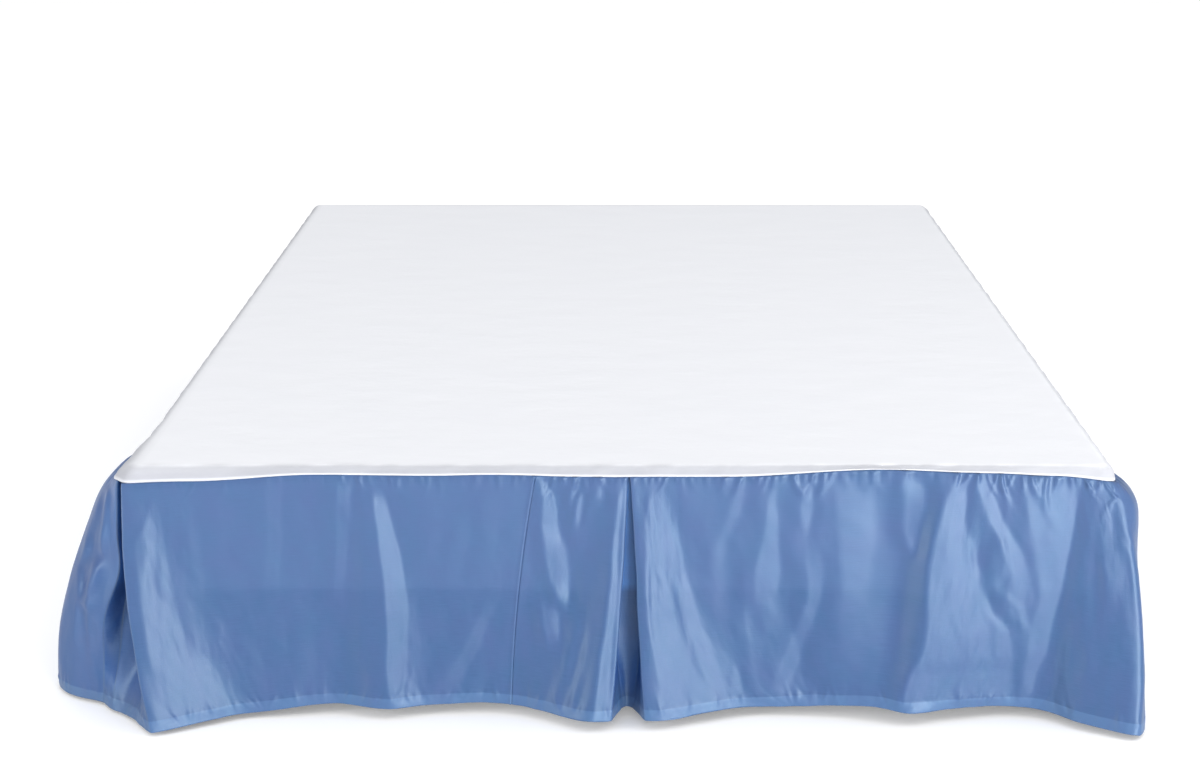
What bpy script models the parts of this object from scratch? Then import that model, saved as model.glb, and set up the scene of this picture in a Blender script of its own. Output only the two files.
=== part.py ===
"""A satin bed skirt on a plain bed base, in metres, +Z up.

The deck lies on the base and rolls over its edge on three sides. The drop is sewn
to the deck under that roll and hangs to just above the floor. It is joined from
five widths of cloth. The foot of the bed faces -Y and its head +Y, where there is
no drop. The origin is on the floor, in the middle of the whole outline.
"""
import math
from collections import namedtuple

import bmesh
import bpy
from mathutils import Vector

# ---------------------------------------------------------------- driving dimensions
BED_WIDTH = 1.524
BED_LENGTH = 2.032
DROP = 0.380
HEM_ABOVE_FLOOR = 0.012  # nominal; less at the corners, where the seam dips
CLOTH = 0.0012
PIECE_GAP = 0.0003

ROLL_RADIUS = 0.020
SEAM_BELOW_DECK = 0.019
CORNER_RADIUS = 0.030

BASE_SETBACK = 0.012
BASE_HEIGHT = 0.195
BASE_EDGE_RADIUS = 0.018

LEG_TOP_RADIUS = 0.032
LEG_FOOT_RADIUS = 0.022
LEG_INSET = 0.075

FOOT_FLARE = 0.090      # how far the fullest fold stands in front of the bed's foot
LIP = 0.0030            # outer width of a sewn fold's edge
CREASE = 0.0015         # the same, on the fold's inner side
PUFF_PEAK = 0.10        # how far down the drop a puff is fullest, as a share of it

# ---------------------------------------------------------------- derived dimensions
HALF_WIDTH = BED_WIDTH / 2
FOOT_Y = -BED_LENGTH / 2 + FOOT_FLARE / 2
HEAD_Y = FOOT_Y + BED_LENGTH
SEAM_Z = HEM_ABOVE_FLOOR + DROP
DECK_Z = SEAM_Z + SEAM_BELOW_DECK
BASE_TOP_Z = DECK_Z - CLOTH - PIECE_GAP
BASE_BOTTOM_Z = BASE_TOP_Z - BASE_HEIGHT

# ---------------------------------------------------------------- mesh density
LEVELS = (0.0, 0.06, 0.17, 0.33, 0.54, 0.77, 1.0)
FOOT_STEP = 0.030
SIDE_STEP = 0.050
CORNER_REACH = 0.090    # how far back from the foot the finer columns go
ROLL_STEPS = 3
BASE_EDGE_STEPS = 4
LEG_SIDES = 24

# How far the seam between deck and drop rises above its nominal height. Place runs
# along the bed's edge from the middle of the foot: x on the foot, and half the width
# plus the way back on a side. The left side is negative.
SEAM_COLUMNS = {"place": 0, "rise": 1}
SEAM_ROWS = (
    (-1.15, 0.0),
    (-0.80, -0.006),
    (-0.66, -0.002),
    (-0.47, 0.008),
    (-0.29, 0.0065),
    (-0.20, 0.008),
    (-0.05, 0.005),
    (0.16, 0.005),
    (0.40, 0.0145),
    (0.57, 0.010),
    (0.66, 0.0065),
    (0.82, -0.008),
    (1.10, 0.0),
)

# The drop's fold lines, each from the seam down to the hem. On the foot and round its
# corners a point is (x, how far it stands in front of the foot). Turn is the width of
# a tight fold's edge, and puff an extra bulge just under the seam. The inner folds are
# the layers inside a pleat, which don't show along the seam.
Fold = namedtuple("Fold", "name top mid hem turn puff")
INNER_FOLDS = ("crease", "valley", "return")
FOOT_FOLDS = (
    Fold("left_bulge", (-0.775, -0.115), (-0.880, -0.105), (-0.918, -0.112), 0, 0.018),
    Fold("left_shoulder", (-0.779, -0.065), (-0.860, -0.058), (-0.893, -0.068), 0, 0.012),
    Fold("left_side_lip", (-0.779, -0.020), (-0.802, -0.016), (-0.825, -0.030), LIP, 0.004),
    Fold("left_side_crease", (-0.766, -0.058), (-0.782, -0.040), (-0.806, -0.006), CREASE, 0),
    Fold("left_valley", (-0.760, -0.012), (-0.768, -0.018), (-0.785, 0.012), 0, 0),
    Fold("left_foot_crease", (-0.710, -0.004), (-0.735, 0.006), (-0.762, 0.038), CREASE, 0),
    Fold("left_foot_lip", (-0.764, -0.0015), (-0.757, 0.040), (-0.724, 0.080), LIP, 0),
    Fold("left_crest", (-0.738, 0.0), (-0.728, 0.038), (-0.697, 0.071), 0, 0),
    Fold("left_flank", (-0.700, 0.0), (-0.690, 0.024), (-0.648, 0.045), 0, 0),
    Fold("left_flank_end", (-0.650, 0.0), (-0.632, 0.009), (-0.590, 0.018), 0, 0),
    Fold("left_flat", (-0.550, 0.0), (-0.535, 0.003), (-0.520, 0.012), 0, 0),
    Fold("left_trough", (-0.455, 0.0), (-0.448, 0.001), (-0.445, 0.002), 0, 0),
    Fold("streak", (-0.379, 0.0), (-0.358, 0.014), (-0.366, 0.019), 0, 0),
    Fold("streak_end", (-0.310, 0.0), (-0.300, 0.002), (-0.308, 0.006), 0, 0),
    Fold("foot_join", (-0.138, 0.0), (-0.161, 0.004), (-0.182, 0.003), 0, 0),
    Fold("middle_flank", (-0.085, 0.0), (-0.098, 0.010), (-0.108, 0.033), 0, 0),
    Fold("middle_rise", (-0.045, 0.0), (-0.050, 0.018), (-0.058, 0.062), 0, 0),
    Fold("middle_left_lip", (0.012, -0.0015), (0.001, 0.026), (-0.014, 0.060), LIP, 0),
    Fold("middle_left_return", (-0.010, -0.0031), (-0.010, 0.008), (-0.004, 0.031), 0, 0),
    Fold("middle_left_crease", (-0.032, -0.004), (-0.014, 0.002), (0.003, 0.013), CREASE, 0),
    Fold("middle_valley", (0.014, -0.005), (0.013, -0.002), (0.011, 0.006), 0, 0),
    Fold("middle_right_crease", (0.060, -0.004), (0.042, 0.002), (0.020, 0.013), CREASE, 0),
    Fold("middle_right_return", (0.038, -0.0031), (0.037, 0.008), (0.028, 0.031), 0, 0),
    Fold("middle_right_lip", (0.016, -0.0015), (0.026, 0.026), (0.039, 0.058), LIP, 0),
    Fold("middle_crest", (0.040, 0.0), (0.048, 0.030), (0.076, 0.057), 0, 0),
    Fold("middle_fall", (0.064, 0.0), (0.080, 0.018), (0.128, 0.034), 0, 0),
    Fold("middle_fall_end", (0.095, 0.0), (0.118, 0.007), (0.186, 0.012), 0, 0),
    Fold("right_flat", (0.215, 0.0), (0.225, 0.004), (0.280, 0.009), 0, 0),
    Fold("right_swell", (0.330, 0.0), (0.340, 0.009), (0.370, 0.021), 0, 0),
    Fold("right_dip", (0.430, 0.0), (0.430, 0.006), (0.412, 0.034), 0, 0),
    Fold("right_crest", (0.517, 0.0), (0.487, 0.030), (0.448, 0.047), 0, 0),
    Fold("right_fall", (0.560, 0.0), (0.545, 0.024), (0.520, 0.027), 0, 0),
    Fold("right_fall_end", (0.620, 0.0), (0.612, 0.018), (0.596, 0.012), 0, 0),
    Fold("right_trough", (0.690, 0.0), (0.680, 0.013), (0.658, 0.017), 0, 0),
    Fold("right_climb", (0.725, 0.0), (0.725, 0.030), (0.712, 0.056), 0, 0.002),
    Fold("right_corner", (0.755, -0.003), (0.797, 0.040), (0.795, 0.094), 0, 0.008),
    Fold("right_round", (0.761, -0.022), (0.806, 0.010), (0.811, 0.074), 0, 0.026),
    Fold("right_bulge", (0.762, -0.060), (0.812, -0.045), (0.822, 0.030), 0, 0.030),
)

# The hidden sides, plainer. Back is the way back from the foot, drift how far the fold
# leans back by the hem, out its depth at the hem, and share how much of that it has
# half way down.
SideFold = namedtuple("SideFold", "name back drift out share")
LEFT_FOLDS = (
    SideFold("left_end", 2.032, 0.000, 0.034, 0.50),
    SideFold("left_side_2", 1.900, 0.020, 0.066, 0.50),
    SideFold("left_side_3", 1.760, 0.010, 0.016, 0.45),
    SideFold("left_side_4", 1.610, -0.015, 0.058, 0.55),
    SideFold("left_side_5", 1.490, 0.000, 0.024, 0.50),
    SideFold("left_side_6", 1.320, 0.030, 0.088, 0.50),
    SideFold("left_side_7", 1.150, 0.000, 0.016, 0.45),
    SideFold("left_side_8", 1.010, -0.020, 0.050, 0.60),
    SideFold("left_side_9", 0.890, 0.000, 0.022, 0.50),
    SideFold("left_side_10", 0.750, 0.020, 0.078, 0.50),
    SideFold("left_join", 0.580, 0.000, 0.016, 0.50),
    SideFold("left_side_12", 0.450, -0.015, 0.066, 0.60),
    SideFold("left_side_13", 0.320, -0.005, 0.030, 0.60),
    SideFold("left_side_14", 0.225, 0.010, 0.108, 0.75),
)
RIGHT_FOLDS = (
    SideFold("right_side_1", 0.165, -0.030, 0.050, 0.80),
    SideFold("right_join", 0.270, 0.005, 0.022, 0.60),
    SideFold("right_side_3", 0.400, 0.020, 0.072, 0.55),
    SideFold("right_side_4", 0.560, 0.000, 0.018, 0.50),
    SideFold("right_side_5", 0.690, -0.015, 0.050, 0.60),
    SideFold("right_side_6", 0.830, 0.000, 0.024, 0.50),
    SideFold("right_side_7", 1.000, 0.020, 0.092, 0.50),
    SideFold("right_side_8", 1.180, 0.030, 0.145, 0.50),
    SideFold("right_side_9", 1.330, 0.010, 0.030, 0.45),
    SideFold("right_side_10", 1.480, -0.010, 0.062, 0.55),
    SideFold("right_head_join", 1.620, 0.000, 0.020, 0.50),
    SideFold("right_side_12", 1.760, 0.020, 0.074, 0.50),
    SideFold("right_side_13", 1.910, 0.000, 0.024, 0.50),
    SideFold("right_end", 2.032, 0.005, 0.048, 0.50),
)

# Each width of cloth runs from one join to the next.
WIDTHS = (
    ("drop_left_head", "left_end", "left_join"),
    ("drop_left_corner", "left_join", "foot_join"),
    ("drop_foot", "foot_join", "right_join"),
    ("drop_right_side", "right_join", "right_head_join"),
    ("drop_right_head", "right_head_join", "right_end"),
)

# ---------------------------------------------------------------- colours (linear)
SATIN_BLUE = (0.125, 0.225, 0.455, 1.0)
DECK_WHITE = (0.86, 0.87, 0.90, 1.0)
BASE_GREY = (0.62, 0.61, 0.59, 1.0)
LEG_WOOD = (0.30, 0.19, 0.11, 1.0)


def smooth_table(rows, place, column):
    """The column's value at a place, eased from one row to the next."""
    if place <= rows[0][0]:
        return rows[0][column]
    for low, high in zip(rows, rows[1:]):
        if place <= high[0]:
            share = (place - low[0]) / (high[0] - low[0])
            eased = share * share * (3 - 2 * share)
            return low[column] + (high[column] - low[column]) * eased
    return rows[-1][column]


def seam_rise(place):
    return smooth_table(SEAM_ROWS, place, SEAM_COLUMNS["rise"])


def roll_angle(place):
    """How far round the deck's rolled edge the seam lies, from 0 at the top."""
    return math.acos(1 - (SEAM_BELOW_DECK - seam_rise(place)) / ROLL_RADIUS)


def roll_inset(angle):
    """How far inside the outline a point of the rolled edge is."""
    return ROLL_RADIUS * (1 - math.sin(angle))


def edge_point(place):
    """The bed's outline in plan at a place, and its outward direction."""
    side = math.copysign(1, place)
    past_arc = abs(place) - (HALF_WIDTH - CORNER_RADIUS)
    turned = min(max(past_arc / (2 * CORNER_RADIUS), 0), 1) * math.pi / 2
    outward = Vector((side * math.sin(turned), -math.cos(turned)))
    centre_x = min(abs(place), HALF_WIDTH - CORNER_RADIUS)
    centre_y = FOOT_Y + max(abs(place) - HALF_WIDTH, CORNER_RADIUS)
    return Vector((side * centre_x, centre_y)) + outward * CORNER_RADIUS, outward


def seam_place(x, front):
    """The place along the bed's edge of a point at x that is front of the foot."""
    if HALF_WIDTH - abs(x) > -front:
        return x
    return math.copysign(HALF_WIDTH - front, x)


def side_fold(row, side):
    """A fold line on a side of the bed, in the same terms as those of the foot."""
    return Fold(
        name=row.name,
        top=(side * HALF_WIDTH, -row.back),
        mid=(side * (HALF_WIDTH + row.out * row.share), -row.back - row.drift / 2),
        hem=(side * (HALF_WIDTH + row.out), -row.back - row.drift),
        turn=0,
        puff=0,
    )


def all_folds():
    """Every fold line in order: left side from the head, foot, right side."""
    left = [side_fold(row, -1) for row in LEFT_FOLDS]
    right = [side_fold(row, 1) for row in RIGHT_FOLDS]
    return left + list(FOOT_FOLDS) + right


def puff_shape(level):
    """Rises quickly to 1 under the seam and dies away below."""
    return level / PUFF_PEAK * math.exp(1 - level / PUFF_PEAK)


def fold_point(fold, level):
    """Where a fold line is in plan at a level, from 0 at the seam to 1 at the hem."""
    place = seam_place(*fold.top)
    outward = edge_point(place)[1] if abs(place) > HALF_WIDTH else Vector((0, -1))
    points = [Vector((x, FOOT_Y - front)) for x, front in (fold.top, fold.mid, fold.hem)]
    points[0] -= outward * roll_inset(roll_angle(place))
    weights = ((1 - level) * (1 - 2 * level), 4 * level * (1 - level), level * (2 * level - 1))
    point = sum((p * w for p, w in zip(points, weights)), Vector((0, 0)))
    if fold.puff:
        point += (points[1] - points[0]).normalized() * fold.puff * puff_shape(level)
    return point


def turned_points(before, point, after, turn):
    """The two sides of a tight fold's edge, or the point itself where it isn't one."""
    if not turn:
        return [point]
    inwards = (before - point).normalized() + (after - point).normalized()
    across = Vector((-inwards.y, inwards.x)).normalized() * turn / 2
    if across.dot(before - after) < 0:
        across = -across
    return [point + across, point - across]


def control_points(folds, level):
    """The plan curve's control points at a level, with the index of each fold line."""
    points = [fold_point(fold, level) for fold in folds]
    control, index = [], []
    for number, fold in enumerate(folds):
        index.append(len(control))
        before = points[max(number - 1, 0)]
        after = points[min(number + 1, len(points) - 1)]
        control += turned_points(before, points[number], after, fold.turn)
    return control, index


def spline_point(p0, p1, p2, p3, share):
    """A point between p1 and p2 on the centripetal curve through four points."""
    t0 = 0.0
    t1 = t0 + max((p1 - p0).length, 1e-6) ** 0.5
    t2 = t1 + max((p2 - p1).length, 1e-6) ** 0.5
    t3 = t2 + max((p3 - p2).length, 1e-6) ** 0.5
    t = t1 + (t2 - t1) * share
    a1 = p0 * ((t1 - t) / (t1 - t0)) + p1 * ((t - t0) / (t1 - t0))
    a2 = p1 * ((t2 - t) / (t2 - t1)) + p2 * ((t - t1) / (t2 - t1))
    a3 = p2 * ((t3 - t) / (t3 - t2)) + p3 * ((t - t2) / (t3 - t2))
    b1 = a1 * ((t2 - t) / (t2 - t0)) + a2 * ((t - t0) / (t2 - t0))
    b2 = a2 * ((t3 - t) / (t3 - t1)) + a3 * ((t - t1) / (t3 - t1))
    return b1 * ((t2 - t) / (t2 - t1)) + b2 * ((t - t1) / (t2 - t1))


def step_counts(hem):
    """How many columns lie between each control point and the next."""
    counts = []
    for start, end in zip(hem, hem[1:]):
        on_side = min(start.y, end.y) > FOOT_Y + CORNER_REACH
        step = SIDE_STEP if on_side else FOOT_STEP
        counts.append(max(1, math.ceil((end - start).length / step)))
    return counts


def plan_curve(control, counts):
    """The plan curve through the control points, as one point for each column."""
    ends = [control[0] * 2 - control[1]] + control + [control[-1] * 2 - control[-2]]
    curve = []
    for number, count in enumerate(counts):
        four = ends[number:number + 4]
        curve += [spline_point(*four, step / count) for step in range(count)]
    return curve + [control[-1]]


def drop_columns():
    """The drop's plan curve at every level, each fold line's column in it, and the
    columns that show along the seam, without the layers inside the pleats."""
    folds = all_folds()
    hem, index = control_points(folds, 1.0)
    counts = step_counts(hem)
    curves = [plan_curve(control_points(folds, level)[0], counts) for level in LEVELS]
    column_of = [sum(counts[:number]) for number in range(len(hem))]
    first = {fold.name: column_of[index[n]] for n, fold in enumerate(folds)}
    shown = []
    for n, (fold, following) in enumerate(zip(folds, folds[1:])):
        if fold.name.endswith(INNER_FOLDS) or following.name.endswith(INNER_FOLDS):
            continue
        start = column_of[index[n] + (1 if fold.turn else 0)]
        shown += range(start, column_of[index[n + 1]])
        if following is folds[-1] or folds[n + 2].name.endswith(INNER_FOLDS):
            shown.append(column_of[index[n + 1]])
    return curves, first, shown


def material(name, colour, roughness):
    made = bpy.data.materials.new(name)
    made.use_nodes = True
    shader = made.node_tree.nodes["Principled BSDF"]
    shader.inputs["Base Color"].default_value = colour
    shader.inputs["Roughness"].default_value = roughness
    shader.inputs["Metallic"].default_value = 0.0
    return made


def add_object(name, mesh, finish, collection):
    piece = bpy.data.objects.new(name, mesh)
    piece.data.materials.append(finish)
    collection.objects.link(piece)
    return piece


def thicken(piece):
    """Gives a sheet the cloth's thickness, on the side away from its faces' front."""
    solid = piece.modifiers.new("cloth", "SOLIDIFY")
    solid.thickness = CLOTH
    solid.offset = -1
    solid.use_even_offset = False


def grid_mesh(name, rows):
    """A sheet through rows of points, each row one level, facing away from the bed."""
    mesh = bpy.data.meshes.new(name)
    wide = len(rows[0])
    faces = []
    for level in range(len(rows) - 1):
        for column in range(wide - 1):
            corner = level * wide + column
            faces.append((corner, corner + wide, corner + wide + 1, corner + 1))
    mesh.from_pydata([point for row in rows for point in row], [], faces)
    return mesh


def trim_end(row, end, inner):
    """Moves a row's end point back along the cloth by half the gap between pieces."""
    back = (row[inner] - row[end]).normalized() * PIECE_GAP / 2
    row[end] = row[end] + back


def seam_height(point):
    """The height of the seam at a point of the drop's top edge."""
    return SEAM_Z + seam_rise(seam_place(point.x, FOOT_Y - point.y))


def drop_width(name, first, last, curves, finish, collection):
    """One width of the drop, from one join to the next."""
    tops = [seam_height(point) - PIECE_GAP / 2 for point in curves[0]]
    rows = []
    for level, curve in zip(LEVELS, curves):
        row = [
            Vector((curve[column].x, curve[column].y, tops[column] - DROP * level))
            for column in range(first, last + 1)
        ]
        trim_end(row, 0, 1)
        trim_end(row, -1, -2)
        rows.append(row)
    thicken(add_object(name, grid_mesh(name, rows), finish, collection))


def roll_ring(seam, share):
    """The deck's edge a share of the way round its roll, pulled towards the seam."""
    ring = []
    for point in seam:
        place = seam_place(point.x, FOOT_Y - point.y)
        plan, outward = edge_point(place)
        full = roll_angle(place)
        pull = point - (plan - outward * roll_inset(full))
        angle = full * share
        plan += pull * share - outward * roll_inset(angle)
        ring.append(Vector((plan.x, plan.y, DECK_Z - ROLL_RADIUS * (1 - math.cos(angle)))))
    return ring


def build_platform(seam, finish, collection):
    """The deck: flat on top, rolled over the edge of the base down to the seam."""
    rings = [roll_ring(seam, step / ROLL_STEPS) for step in range(ROLL_STEPS)]
    edge = []
    for point, above in zip(seam, rings[-1]):
        # The edge's inner side is lower than its outer side by as much as the cloth leans.
        run = (point - above.xy).length
        height = seam_height(point)
        lean = run / math.hypot(run, above.z - height)
        edge.append(Vector((point.x, point.y, height + PIECE_GAP / 2 + CLOTH * lean)))
    mesh = grid_mesh("platform", rings + [edge])
    bm = bmesh.new()
    bm.from_mesh(mesh)
    bm.verts.ensure_lookup_table()
    bm.faces.new([bm.verts[n] for n in range(len(seam))])
    bmesh.ops.recalc_face_normals(bm, faces=bm.faces)
    bm.to_mesh(mesh)
    bm.free()
    thicken(add_object("platform", mesh, finish, collection))


def build_base(finish, collection):
    """A plain box, set back from the cloth, with rounded edges."""
    size = (BED_WIDTH - 2 * BASE_SETBACK, BED_LENGTH - 2 * BASE_SETBACK, BASE_HEIGHT)
    mesh = bpy.data.meshes.new("bed_base")
    bm = bmesh.new()
    bmesh.ops.create_cube(bm, size=1.0)
    bmesh.ops.scale(bm, vec=size, verts=bm.verts)
    bm.to_mesh(mesh)
    bm.free()
    base = add_object("bed_base", mesh, finish, collection)
    base.location = (0, (FOOT_Y + HEAD_Y) / 2, BASE_BOTTOM_Z + BASE_HEIGHT / 2)
    bevel = base.modifiers.new("rounded edges", "BEVEL")
    bevel.width = BASE_EDGE_RADIUS
    bevel.segments = BASE_EDGE_STEPS


def build_legs(finish, collection):
    """Three tapered legs under each side of the base."""
    height = BASE_BOTTOM_Z - PIECE_GAP
    mesh = bpy.data.meshes.new("leg")
    bm = bmesh.new()
    bmesh.ops.create_cone(
        bm, cap_ends=True, segments=LEG_SIDES,
        radius1=LEG_FOOT_RADIUS, radius2=LEG_TOP_RADIUS, depth=height
    )
    bm.to_mesh(mesh)
    bm.free()
    mesh.shade_smooth()
    mesh.set_sharp_from_angle(angle=math.radians(40))
    mesh.materials.append(finish)
    across = HALF_WIDTH - BASE_SETBACK - LEG_INSET
    rows = (
        ("foot", FOOT_Y + BASE_SETBACK + LEG_INSET),
        ("middle", (FOOT_Y + HEAD_Y) / 2),
        ("head", HEAD_Y - BASE_SETBACK - LEG_INSET),
    )
    for row_name, y in rows:
        for side_name, side in (("left", -1), ("right", 1)):
            leg = bpy.data.objects.new("leg_%s_%s" % (row_name, side_name), mesh)
            leg.location = (side * across, y, height / 2)
            collection.objects.link(leg)


def main():
    for old in list(bpy.data.objects):
        bpy.data.objects.remove(old)
    collection = bpy.data.collections.new("bed_skirt")
    bpy.context.scene.collection.children.link(collection)

    satin = material("satin_blue", SATIN_BLUE, 0.35)
    curves, columns, shown = drop_columns()
    seam = [curves[0][column] for column in shown]
    build_platform(seam, material("deck_white", DECK_WHITE, 0.8), collection)
    for name, start, end in WIDTHS:
        drop_width(name, columns[start], columns[end], curves, satin, collection)
    build_base(material("base_grey", BASE_GREY, 0.8), collection)
    build_legs(material("leg_wood", LEG_WOOD, 0.5), collection)


main()
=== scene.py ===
"""The looks of a satin bed skirt on a plain bed base, in metres, +Z up.

The foot of the bed faces -Y. The white deck lies on the base and rolls over its edge,
and the blue drop is sewn on under that roll. Each width of the drop is one fine sheet
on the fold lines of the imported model, with its gathers, creases, joins and hem added.
"""
import math
import random
from collections import namedtuple

import bmesh
import bpy
import numpy as np
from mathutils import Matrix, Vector


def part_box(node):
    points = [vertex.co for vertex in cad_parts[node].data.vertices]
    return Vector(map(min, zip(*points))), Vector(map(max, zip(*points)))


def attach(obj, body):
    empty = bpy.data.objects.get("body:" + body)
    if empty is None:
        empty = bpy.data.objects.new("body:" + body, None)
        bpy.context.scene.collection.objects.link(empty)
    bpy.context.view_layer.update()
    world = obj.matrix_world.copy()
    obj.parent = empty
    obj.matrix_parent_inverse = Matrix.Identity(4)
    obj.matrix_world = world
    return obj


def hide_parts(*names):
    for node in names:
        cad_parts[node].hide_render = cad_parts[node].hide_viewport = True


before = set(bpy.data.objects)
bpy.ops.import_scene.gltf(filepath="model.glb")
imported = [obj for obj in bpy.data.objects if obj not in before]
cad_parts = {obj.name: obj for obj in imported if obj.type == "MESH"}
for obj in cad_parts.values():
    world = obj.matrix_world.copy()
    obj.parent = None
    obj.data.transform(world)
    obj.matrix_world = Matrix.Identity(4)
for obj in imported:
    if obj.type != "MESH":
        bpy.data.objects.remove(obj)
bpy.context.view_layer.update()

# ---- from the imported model
BASE_LOW, BASE_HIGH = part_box("bed_base")
DECK_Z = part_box("platform")[1].z
BASE_SETBACK = 0.012    # how far the base stays inside the bed's outline
HALF_WIDTH = BASE_HIGH.x + BASE_SETBACK
FOOT_Y = BASE_LOW.y - BASE_SETBACK

# ---- driving dimensions
DROP = 0.380            # from the seam down to the hem
HEM_HEIGHT = 0.017      # from the hem's fold up to its stitch line
ROLL_RADIUS = 0.020     # of the deck's rolled edge
SEAM_BELOW_DECK = 0.019
SEAM_Z = DECK_Z - SEAM_BELOW_DECK
CORNER_RADIUS = 0.030   # of the bed's corners in plan
SATIN = 0.0008          # thickness of the drop's cloth
DECK_CLOTH = 0.0012
LIP = 0.0030            # outer width of a sewn fold's edge
CREASE = 0.0015         # the same, on the fold's inner side
PUFF_PEAK = 0.10        # how far down the drop a puff is fullest, as a share of it

# ---- the drop's grid
FOOT_STEP = 0.0027      # width of a column on the foot and the corners
SIDE_STEP = 0.0055      # and on the sides
SIDE_STARTS = 0.30      # how far behind the foot the sides' columns start
LIP_STEPS = 3           # columns across a tight fold's edge
JOIN_STEPS = (0.0007, 0.0015, 0.0025, 0.0040)   # distance of the columns beside a join
JOIN_CLEAR = 0.0048     # no other column is nearer to the join
ROW_STEPS = ((0.036, 0.0020), (0.355, 0.0066), (DROP, 0.0016))  # down to, row height
SMOOTH_STEP = 0.002     # spacing of the points at which a row's bends are evened out
SMOOTH_WIDTH = 0.011    # and over what width
KEEP_NEAR, KEEP_FAR = 0.010, 0.045  # as it is this near a tight fold, evened this far
MOST_SOFT = 0.45        # a strip's soft ends take up no more than this share of it each
DROP_SEED, DECK_SEED = 7, 11

# The least length of a vector, width of a strip and softness of an edge, so that
# nothing is divided by zero.
TINY, SMALLEST_WIDTH, SHARPEST = 1e-9, 1e-6, 1e-5

# ---- the drop's folds
# How far the seam between deck and drop rises above its nominal height. Place runs
# along the bed's edge from the middle of the foot: x on the foot, and half the width
# plus the way back on a side. The left side is negative.
SEAM_ROWS = (
    (-1.15, 0.0),
    (-0.80, -0.006),
    (-0.66, -0.002),
    (-0.47, 0.008),
    (-0.29, 0.0065),
    (-0.20, 0.008),
    (-0.05, 0.005),
    (0.16, 0.005),
    (0.40, 0.0145),
    (0.57, 0.010),
    (0.66, 0.0065),
    (0.82, -0.008),
    (1.10, 0.0),
)

# The drop's fold lines, each with its places at the seam, half way down and at the hem.
# On the foot and round its corners a place is (x, how far it stands in front of the
# foot). Turn is the width of a tight fold's edge, and puff an extra bulge just under
# the seam.
Fold = namedtuple("Fold", "name top mid hem turn puff", defaults=(0, 0))
FOOT_FOLDS = (
    Fold("left_bulge", (-0.775, -0.115), (-0.880, -0.105), (-0.918, -0.112), 0, 0.018),
    Fold("left_shoulder", (-0.779, -0.065), (-0.860, -0.058), (-0.893, -0.068), 0, 0.012),
    Fold("left_side_lip", (-0.779, -0.020), (-0.802, -0.016), (-0.825, -0.030), LIP, 0.004),
    Fold("left_side_crease", (-0.766, -0.058), (-0.782, -0.040), (-0.806, -0.006), CREASE),
    Fold("left_valley", (-0.760, -0.012), (-0.768, -0.018), (-0.785, 0.012)),
    Fold("left_foot_crease", (-0.710, -0.004), (-0.735, 0.006), (-0.762, 0.038), CREASE),
    Fold("left_foot_lip", (-0.764, -0.0015), (-0.757, 0.040), (-0.724, 0.080), LIP),
    Fold("left_crest", (-0.738, 0.0), (-0.728, 0.038), (-0.697, 0.071)),
    Fold("left_flank", (-0.700, 0.0), (-0.690, 0.024), (-0.648, 0.045)),
    Fold("left_flank_end", (-0.650, 0.0), (-0.632, 0.009), (-0.590, 0.018)),
    Fold("left_flat", (-0.550, 0.0), (-0.535, 0.003), (-0.520, 0.012)),
    Fold("left_trough", (-0.455, 0.0), (-0.448, 0.001), (-0.445, 0.002)),
    Fold("streak", (-0.379, 0.0), (-0.358, 0.007), (-0.366, 0.023)),
    Fold("streak_end", (-0.310, 0.0), (-0.300, 0.002), (-0.308, 0.006)),
    Fold("foot_join", (-0.129, 0.0), (-0.157, 0.004), (-0.171, 0.003)),
    Fold("middle_flank", (-0.085, 0.0), (-0.098, 0.010), (-0.108, 0.033)),
    Fold("middle_rise", (-0.045, 0.0), (-0.050, 0.018), (-0.058, 0.062)),
    Fold("middle_left_lip", (0.012, -0.0015), (0.001, 0.026), (-0.014, 0.060), LIP),
    Fold("middle_left_return", (-0.010, -0.0031), (-0.010, 0.008), (-0.004, 0.031)),
    Fold("middle_left_crease", (-0.032, -0.004), (-0.014, 0.002), (0.003, 0.013), CREASE),
    Fold("middle_valley", (0.014, -0.005), (0.013, -0.002), (0.011, 0.006)),
    Fold("middle_right_crease", (0.060, -0.004), (0.042, 0.002), (0.020, 0.013), CREASE),
    Fold("middle_right_return", (0.038, -0.0031), (0.037, 0.008), (0.028, 0.031)),
    Fold("middle_right_lip", (0.016, -0.0015), (0.026, 0.026), (0.039, 0.058), LIP),
    Fold("middle_crest", (0.040, 0.0), (0.048, 0.030), (0.076, 0.057)),
    Fold("middle_fall", (0.064, 0.0), (0.080, 0.018), (0.128, 0.034)),
    Fold("middle_fall_end", (0.095, 0.0), (0.118, 0.007), (0.186, 0.012)),
    Fold("right_flat", (0.215, 0.0), (0.225, 0.004), (0.280, 0.009)),
    Fold("right_swell", (0.330, 0.0), (0.340, 0.009), (0.370, 0.021)),
    Fold("right_dip", (0.430, 0.0), (0.430, 0.006), (0.412, 0.034)),
    Fold("right_crest", (0.517, 0.0), (0.487, 0.030), (0.448, 0.047)),
    Fold("right_fall", (0.560, 0.0), (0.545, 0.024), (0.520, 0.027)),
    Fold("right_fall_end", (0.620, 0.0), (0.612, 0.018), (0.596, 0.012)),
    Fold("right_trough", (0.690, 0.0), (0.680, 0.013), (0.658, 0.017)),
    Fold("right_climb", (0.725, 0.0), (0.725, 0.030), (0.712, 0.056), 0, 0.002),
    Fold("right_corner", (0.755, -0.003), (0.797, 0.044), (0.795, 0.094), 0.009, 0.006),
    Fold("right_round", (0.761, -0.022), (0.806, 0.010), (0.811, 0.074), 0, 0.026),
    Fold("right_bulge", (0.762, -0.060), (0.812, -0.045), (0.822, 0.030), 0, 0.030),
)

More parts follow.
